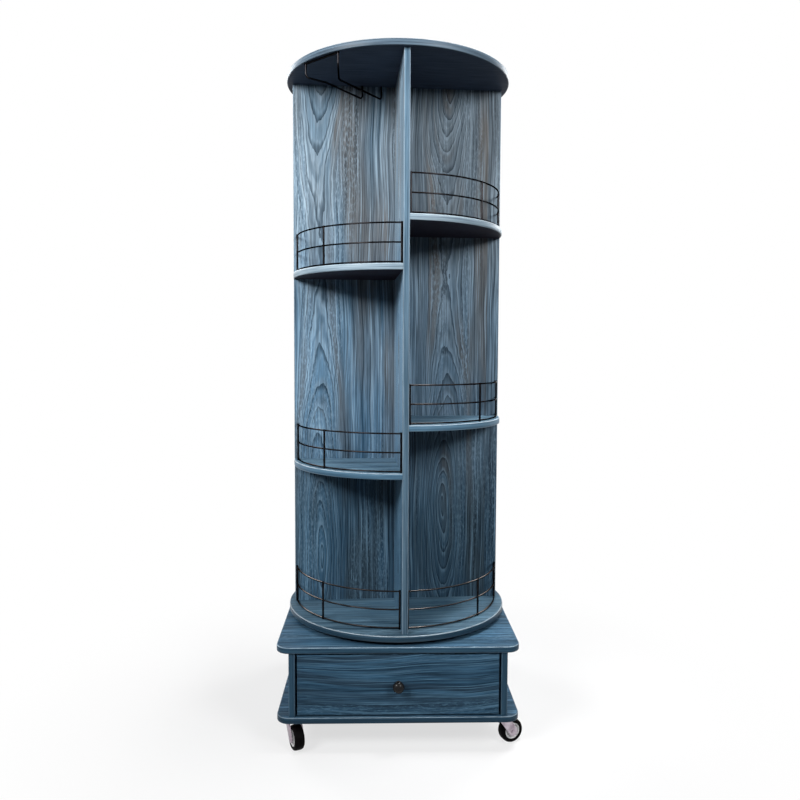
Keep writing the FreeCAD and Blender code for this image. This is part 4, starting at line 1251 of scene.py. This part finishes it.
@dataclass
class Base:
    """The base cabinet: two rounded boards, two sides and a back."""

    corner: float = 25.0 * MM
    edging: Edging = Edging()

    def dress(self) -> None:
        """Dress the base's boards and fasteners."""
        # The base boards' low tone darkens them as painted shade.
        level = LaminateFinish(
            "blue_walnut_base_board", BoardLay.LEVEL, BASE_WALNUT, 0.0, (7.7, 1.3, 4.1),
            arches=0.35, tone=0.74,
        )
        side = LaminateFinish(
            "blue_walnut_base_side", BoardLay.SIDE_UPRIGHT, BASE_WALNUT, 0.0, (1.9, 6.4, 2.8),
            hearts=(Heart(-0.11, 0.02, 0.7), Heart(0.08, 0.24, 0.7)),
        )
        back = LaminateFinish(
            "blue_walnut_base_back", BoardLay.FACE_ACROSS, BASE_WALNUT, 0.0, (4.6, 0.2, 8.3)
        )
        zinc = MetalFinish("zinc_plated_steel", paint(150, 152, 156), paint(205, 205, 206), 0.3)
        # The runners are dark steel as painted shade, so they stay dark in the gap beside the drawer.
        shaded_steel = MetalFinish("dark_steel_painted_shade", paint(26, 27, 29), paint(44, 45, 48), 0.5)
        beech = TimberFinish("bare_beech", paint(176, 140, 98), paint(222, 188, 144))
        dress(level, "base_bottom_board", "base_top_board")
        dress(side, "base_side_left", "base_side_right")
        dress(back, "base_back_panel")
        dress(shaded_steel, "runner_channels", "runner_slides")
        screws = ("base", "tower", "turntable_lower", "turntable_upper", "caster")
        dress(zinc, *(f"{place}_screws" for place in screws), "knob_screw")
        dress(beech, "base_dowels", "tower_dowels", "drawer_dowels")

    def build(self) -> None:
        """Build the edge bands of the base's boards and sides."""
        # The third colour is the pale arris line, partly wear and partly a painted highlight.
        dark, pale, wear_and_highlight = paint(28, 54, 72), paint(52, 84, 106), paint(158, 182, 200)
        edgings = {
            "base_top_board": EdgeBandFinish("base_top_edging", BandRun.LEVEL, dark, pale, wear_and_highlight),
            "base_bottom_board": EdgeBandFinish(
                "base_bottom_edging", BandRun.LEVEL, paint(21, 44, 60), paint(40, 70, 90), wear_and_highlight, 0.6
            ),
        }
        for board, edging in edgings.items():
            shape = self.edging.board_band(*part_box(board), self.corner)
            hand_over(shape, Ticket(f"{board}_edging", "base", "blue_laminate"), edging.make())
        upright = EdgeBandFinish("base_upright_edging", BandRun.UPRIGHT, dark, pale, wear_and_highlight, 0.15).make()
        for side in ("base_side_left", "base_side_right"):
            low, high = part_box(side)
            for end, edge, facing in (("front", low.y, -1.0), ("rear", high.y, 1.0)):
                near, far = sorted((edge - facing * self.edging.lip, edge + facing * self.edging.proud))
                shape = self.edging.bar(
                    Vector((low.x - self.edging.cover, near, low.z)),
                    Vector((high.x + self.edging.cover, far, high.z)),
                    Vector((0, facing, 0)),
                )
                hand_over(shape, Ticket(f"{side}_{end}_edging", "base", "blue_laminate"), upright)


@dataclass
class Drawer:
    """The drawer with its banded front and turned knob, whose head's radius is in millimetres."""

    edging: Edging = Edging(proud=0.2 * MM)
    head: float = 11.3
    knob_facets: int = 56
    knob_crease_deg: float = 60.0

    def dress(self) -> None:
        """Dress the drawer's boards."""
        front = LaminateFinish(
            "blue_walnut_drawer_front", BoardLay.FACE_ACROSS, DRAWER_WALNUT, 0.0, (2.4, 5.1, 6.6),
            arches=0.25, grain=1.6, sway=0.02, fibres=0.42, haze=0.7, tone=0.9,
        )
        dress(front, "drawer_front")
        for part, lay, shift, nodes in (
            ("side", BoardLay.SIDE_ACROSS, (8.8, 3.5, 1.2), ("drawer_side_left", "drawer_side_right")),
            ("back", BoardLay.FACE_ACROSS, (6.1, 9.2, 3.3), ("drawer_back",)),
            ("floor", BoardLay.LEVEL, (0.7, 4.9, 5.8), ("drawer_bottom",)),
        ):
            dress(LaminateFinish(f"blue_walnut_drawer_{part}", lay, BASE_WALNUT, 0.0, shift), *nodes)

    def build(self) -> None:
        """Build the front's edge band and the knob."""
        self._front_band()
        self._knob()

    def _front_band(self) -> None:
        """Band the four edges of the drawer's front, which is drawn level and then set upright."""
        finish = EdgeBandFinish(
            "drawer_edging", BandRun.LEVEL, paint(48, 76, 96), paint(86, 118, 140), paint(150, 172, 186), 0.7
        )
        low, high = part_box("drawer_front")
        shape = self.edging.board_band(Vector((low.x, low.z, -high.y)), Vector((high.x, high.z, -low.y)), 0.0)
        turn_about(shape, math.pi / 2, "X")
        hand_over(shape, Ticket("drawer_front_edging", "drawer", "blue_laminate"), finish.make())

    def _knob(self) -> None:
        """Turn the mushroom knob with its foot ring and domed head."""
        low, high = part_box("drawer_knob")
        reach = (high.y - low.y) / MM
        head = self.head
        outline = (
            (0.0, 0.0), (7.2, 0.0), (7.9, -0.5), (8.0, -1.3), (7.7, -2.2), (6.9, -2.7), (5.9, -3.6),
            (5.5, -5.2), (5.6, -6.8), (6.6, -8.2), (8.6, -9.2), (head - 0.7, -10.9), (head, -13.2),
            (head - 0.5, -15.4), (head - 2.2, -17.8), (head - 4.9, -20.1), (3.2, 0.9 - reach), (0.0, -reach),
        )
        shape = lathe(outline, self.knob_facets)
        move(shape, ((low.x + high.x) / 2, high.y, (low.z + high.z) / 2))
        black = PlasticFinish("gloss_black_knob", paint(9, 8, 9), paint(18, 17, 18), 0.24, 0.01 * MM, 0.17)
        ticket = Ticket("turned_knob", "drawer", "black_knob", ("drawer_knob",))
        piece = hand_over(shape, ticket, black.make(), self.knob_crease_deg)
        smooth = piece.modifiers.new("rounded", "SUBSURF")
        smooth.levels = smooth.render_levels = 1


@dataclass
class Turntable:
    """The ball bearing between the base and the tower."""

    ring: Finish = MetalFinish("anodised_ring", paint(170, 172, 176), paint(206, 207, 210), 0.34)
    ball: Finish = MetalFinish("polished_ball", paint(196, 197, 200), paint(226, 227, 230), 0.1)

    def dress(self) -> None:
        """Dress the rings and the balls."""
        dress(self.ring, "turntable_lower_ring", "turntable_upper_ring")
        dress(self.ball, "turntable_balls")


def mirrored(half: Outline) -> Outline:
    """Complete the outline of a wheel's half, which may end at the wheel's middle, with the other half."""
    other = (point for point in reversed(half) if point[1] > 0)
    return (*((radius, -along) for radius, along in half), *other)


@dataclass
class Casters:
    """The four casters: pressed forks, riveted axles, moulded hubs and rubber tyres, in millimetres."""

    wheel_radius: float = 23.5
    half_width: float = 10.0
    tyre_facets: int = 72
    tyre_crease_deg: float = 50.0
    hub_radius: float = 15.7
    hub_play: float = 0.02
    hub_sink: float = 0.9
    hub_facets: int = 64
    hub_crease_deg: float = 40.0
    fork_inner: float = 11.0
    fork_outer: float = 13.0
    fork_round: float = 0.35
    fork_arris_deg: float = 40.0
    fork_crease_deg: float = 40.0
    cut_within: float = 0.0001
    crown_half: float = 12.0
    crown_floor: float = 49.0
    crown_top: float = 51.5
    crown_bend: float = 3.5
    axle_boss: float = 8.5
    leg_facets: int = 14
    trim: float = 1.0
    race_radii: Pair = (11.5, 10.2)
    race_height: float = 0.24
    race_sink: float = 0.01
    race_facets: int = 40

    def build(self) -> None:
        """Dress the plates, and build each caster's tyre, hub and fork."""
        zinc = MetalFinish("bright_zinc_plate", paint(142, 130, 140), paint(192, 182, 190), 0.3)
        rubber = PlasticFinish("black_rubber_tyre", paint(5, 4, 5), paint(13, 11, 12), 0.5, 0.06 * MM, 0.03)
        white = PlasticFinish("white_moulded_hub", paint(240, 239, 241), paint(252, 252, 252), 0.36)
        plate, tread, core = dress(zinc, "caster_plates"), rubber.make(), white.make()
        joints = {joint["name"]: joint for joint in frame["joints"]}
        for corner in CORNERS:
            swivel = Vector(joints[f"swivel_{corner}"]["pos_m"])
            centre = Vector(joints[f"roll_{corner}"]["pos_m"])
            trail = (centre - swivel).xy
            swivel.z = 0.0
            wheel, fork = f"wheel_{corner}", f"fork_{corner}"
            tyre = Ticket(f"tyre_{corner}", wheel, "black_tyre", (f"wheel_tyre_{corner}",))
            hub = Ticket(f"hub_{corner}", wheel, "white_hub", (f"wheel_hub_{corner}",))
            pressing = Ticket(fork, fork, "caster_zinc", (f"caster_fork_{corner}",))
            for shape, spot, ticket, material, crease_deg in (
                (self._tyre(), centre, tyre, tread, self.tyre_crease_deg),
                (self._hub(), centre, hub, core, self.hub_crease_deg),
                (self._fork(trail.length / MM), swivel, pressing, plate, self.fork_crease_deg),
            ):
                turn_about(shape, math.atan2(trail.y, trail.x))
                move(shape, spot)
                hand_over(shape, ticket, material, crease_deg)

    def _tyre(self) -> Shape:
        """Turn the tyre with its crowned tread, rounded shoulders and mould line.

        Returns:
            The tyre, with the axle along Y.
        """
        rim, wide, inner = self.wheel_radius, self.half_width, self.hub_radius + self.hub_play
        half = (
            (inner, wide - 1.2), (inner + 0.7, wide - 0.3), (inner + 2.4, wide), (rim - 3.2, wide - 0.35),
            (rim - 1.3, wide - 1.7), (rim - 0.35, wide - 3.8), (rim - 0.08, wide - 6.4), (rim - 0.04, 0.5),
            (rim, 0.0),
        )
        return lathe(mirrored(half), self.tyre_facets)

    def _hub(self) -> Shape:
        """Turn the hub with its rim, recess and boss.

        Returns:
            The hub, with the axle along Y.
        """
        rim, wide = self.hub_radius - self.hub_play, self.half_width - self.hub_sink
        half = (
            (3.1, 10.6), (5.0, 10.6), (5.5, 10.1), (5.8, 7.0), (7.0, 6.2), (10.6, 6.0), (12.3, 6.4),
            (12.9, wide - 0.5), (13.4, wide), (rim - 0.5, wide), (rim, wide - 0.6),
        )
        return lathe(mirrored(half), self.hub_facets)

    def _fork(self, trail: float) -> Shape:
        """Press the fork from sheet: a bent channel cut to two tapered legs, with an axle and a ball race.

        Args:
            trail: From the swivel axis to the wheel's centre, in millimetres.

        Returns:
            The fork, with the swivel axis along Z.
        """
        shape = self._channel(trail)
        self._trim_legs(shape, trail)
        sharp = math.radians(self.fork_arris_deg)
        round_over(shape, lambda edge: edge.calc_face_angle(0.0) > sharp, self.fork_round * MM, steps=2)
        self._axle(shape, trail)
        low, high = self.race_radii
        race = bmesh.ops.create_cone(
            shape, cap_ends=True, segments=self.race_facets, radius1=low * MM, radius2=high * MM,
            depth=self.race_height * MM,
        )
        lift = (self.crown_top + self.race_height / 2 - self.race_sink) * MM
        bmesh.ops.translate(shape, verts=race["verts"], vec=(0, 0, lift))
        seal(shape)
        return shape

    def _channel(self, trail: float) -> Shape:
        """Bend the sheet to an inverted channel along the trailing direction.

        Args:
            trail: From the swivel axis to the wheel's centre, in millimetres.

        Returns:
            The channel.
        """
        shape = bmesh.new()
        inner, outer, foot = self.fork_inner, self.fork_outer, self.wheel_radius - self.axle_boss - self.trim
        section = (
            (-outer, foot), (-outer, self.crown_top), (outer, self.crown_top), (outer, foot),
            (inner, foot), (inner, self.crown_floor), (-inner, self.crown_floor), (-inner, foot),
        )
        back = -self.crown_half - self.trim
        face = shape.faces.new([shape.verts.new((back * MM, y * MM, z * MM)) for y, z in section])
        thicken(shape, [face], ((trail + self.axle_boss + self.trim - back) * MM, 0, 0))
        bmesh.ops.recalc_face_normals(shape, faces=shape.faces)
        shoulder = self.crown_top * MM - SLACK

        def test(edge: bmesh.types.BMEdge) -> bool:
            """Say whether the edge is one of the two bends at the crown."""
            run = edge.verts[0].co - edge.verts[1].co
            return abs(run.x) > MM and all(vert.co.z > shoulder for vert in edge.verts)

        round_over(shape, test, self.crown_bend * MM, steps=5)
        return shape

    def _trim_legs(self, shape: Shape, trail: float) -> None:
        """Cut the channel's sides to legs that taper from the crown to a round end at the axle.

        Args:
            shape: The channel.
            trail: From the swivel axis to the wheel's centre, in millimetres.
        """
        axle = Vector((trail, 0.0, self.wheel_radius))
        ends = []
        for side in (-1.0, 1.0):
            reach = axle - Vector((side * self.crown_half, 0.0, self.crown_top))
            lean = math.atan2(reach.z, reach.x)
            ends.append(lean + side * math.acos(-self.axle_boss / reach.length))
        for step in range(self.leg_facets + 1):
            angle = ends[0] + (ends[1] - ends[0]) * step / self.leg_facets
            outward = Vector((math.cos(angle), 0.0, math.sin(angle)))
            cut = bmesh.ops.bisect_plane(
                shape, geom=[*shape.verts, *shape.edges, *shape.faces], dist=self.cut_within * MM,
                plane_co=(axle + outward * self.axle_boss) * MM, plane_no=outward, clear_outer=True,
            )
            rims = [item for item in cut["geom_cut"] if isinstance(item, bmesh.types.BMEdge)]
            bmesh.ops.holes_fill(shape, edges=rims, sides=0)
        bmesh.ops.recalc_face_normals(shape, faces=shape.faces)

    def _axle(self, shape: Shape, trail: float) -> None:
        """Add the axle's pin, washer, hexagon nut and stepped head, each with its radius, ends and facets.

        Args:
            shape: The fork, which the axle joins.
            trail: From the swivel axis to the wheel's centre, in millimetres.
        """
        outer = self.fork_outer
        for radius, low, high, facets in (
            (3.0, -outer - 0.4, outer + 1.6, 24),
            (5.6, outer, outer + 0.7, 32),
            (4.5, outer + 0.7, outer + 1.7, 6),
            (4.8, -outer - 1.0, -outer, 28),
            (3.6, -outer - 1.7, -outer - 1.0, 28),
        ):
            rod = bmesh.ops.create_cone(
                shape, cap_ends=True, segments=facets, radius1=radius * MM, radius2=radius * MM,
                depth=(high - low) * MM, matrix=Matrix.Rotation(math.pi / 2, 4, "X"),
            )
            spot = (trail * MM, (low + high) / 2 * MM, self.wheel_radius * MM)
            bmesh.ops.translate(shape, verts=rod["verts"], vec=spot)


@dataclass(frozen=True)
class Lamp:
    """One soft lamp: where it stands, what it points at, its side length, power and fan of light."""

    name: str
    spot: Triple
    aim: Triple
    side: float
    power: float
    fan_deg: float


@dataclass
class Studio:
    """The pale floor, the white surroundings, the soft lamps and the camera."""

    lamps: tuple[Lamp, ...] = (
        Lamp("key", (-1.45, -1.5, 1.8), (0.0, 0.0, 1.24), 0.9, 18.0, 80.0),
        Lamp("fill", (1.4, -1.8, 1.75), (0.0, 0.0, 1.24), 0.8, 11.0, 80.0),
        Lamp("top", (0.55, -0.1, 3.3), (0.0, -0.2, 0.1), 0.8, 4.5, 45.0),
        Lamp("rear_left", (-1.6, 1.7, 1.9), (0.0, 0.0, 0.7), 1.0, 30.0, 180.0),
        Lamp("rear_right", (1.6, 1.6, 1.8), (0.0, 0.0, 0.7), 1.0, 26.0, 180.0),
    )
    ambient: float = 0.01
    floor_radius: float = 9.0
    floor_facets: int = 96
    eye: Triple = (-0.0339, -1.624, 0.7634)
    yaw_deg: float = 1.43
    pitch_deg: float = 3.69
    roll_deg: float = 0.22
    lens: float = 34.0
    sensor: float = 36.0

    def build(self) -> None:
        """Build the studio."""
        bpy.context.scene.view_settings.view_transform = "Standard"
        self._floor()
        self._world()
        for lamp in self.lamps:
            self._hang(lamp)
        self._camera()

    def _floor(self) -> None:
        """Lay the floor."""
        shape = bmesh.new()
        bmesh.ops.create_circle(shape, cap_ends=True, segments=self.floor_facets, radius=self.floor_radius)
        mesh = bpy.data.meshes.new("floor")
        shape.to_mesh(mesh)
        shape.free()
        mesh.materials.append(FloorFinish("pale_floor").make())
        floor = bpy.data.objects.new("floor", mesh)
        bpy.context.scene.collection.objects.link(floor)

    def _world(self) -> None:
        """Make surroundings that look white and light the rack gently."""
        world = bpy.data.worlds.new("studio")
        bpy.context.scene.world = world
        sheet = NodeSheet(world)
        dim, white = (
            sheet.add("ShaderNodeBackground", {"Color": WHITE, "Strength": strength}).outputs[0]
            for strength in (self.ambient, 1.0)
        )
        sheet.add("ShaderNodeOutputWorld", {"Surface": sheet.mix(sheet.seen(), dim, white)})

    def _hang(self, lamp: Lamp) -> None:
        """Hang one lamp.

        Args:
            lamp: The lamp.
        """
        light = bpy.data.lights.new(lamp.name, "AREA")
        light.size = lamp.side
        light.energy = lamp.power
        light.spread = math.radians(lamp.fan_deg)
        stand = bpy.data.objects.new(lamp.name, light)
        bpy.context.scene.collection.objects.link(stand)
        stand.location = lamp.spot
        way = Vector(lamp.aim) - Vector(lamp.spot)
        stand.rotation_euler = way.to_track_quat("-Z", "Y").to_euler()

    def _camera(self) -> None:
        """Set up the camera at the photograph's angle."""
        lens = bpy.data.cameras.new("camera")
        lens.sensor_width = self.sensor
        lens.lens = self.lens
        camera = bpy.data.objects.new("camera", lens)
        bpy.context.scene.collection.objects.link(camera)
        camera.matrix_world = (
            Matrix.Translation(self.eye)
            @ Matrix.Rotation(math.radians(-self.yaw_deg), 4, "Z")
            @ Matrix.Rotation(math.radians(90.0 - self.pitch_deg), 4, "X")
            @ Matrix.Rotation(math.radians(self.roll_deg), 4, "Z")
        )
        bpy.context.scene.camera = camera


def main() -> None:
    """Build the rack's looks and its studio."""
    logging.basicConfig(level=logging.INFO, format="%(message)s")
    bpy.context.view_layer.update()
    for assembly in (Tower(), Base(), Drawer()):
        assembly.dress()
        assembly.build()
    Turntable().dress()
    Casters().build()
    Studio().build()


if __name__ == "__main__":
    main()
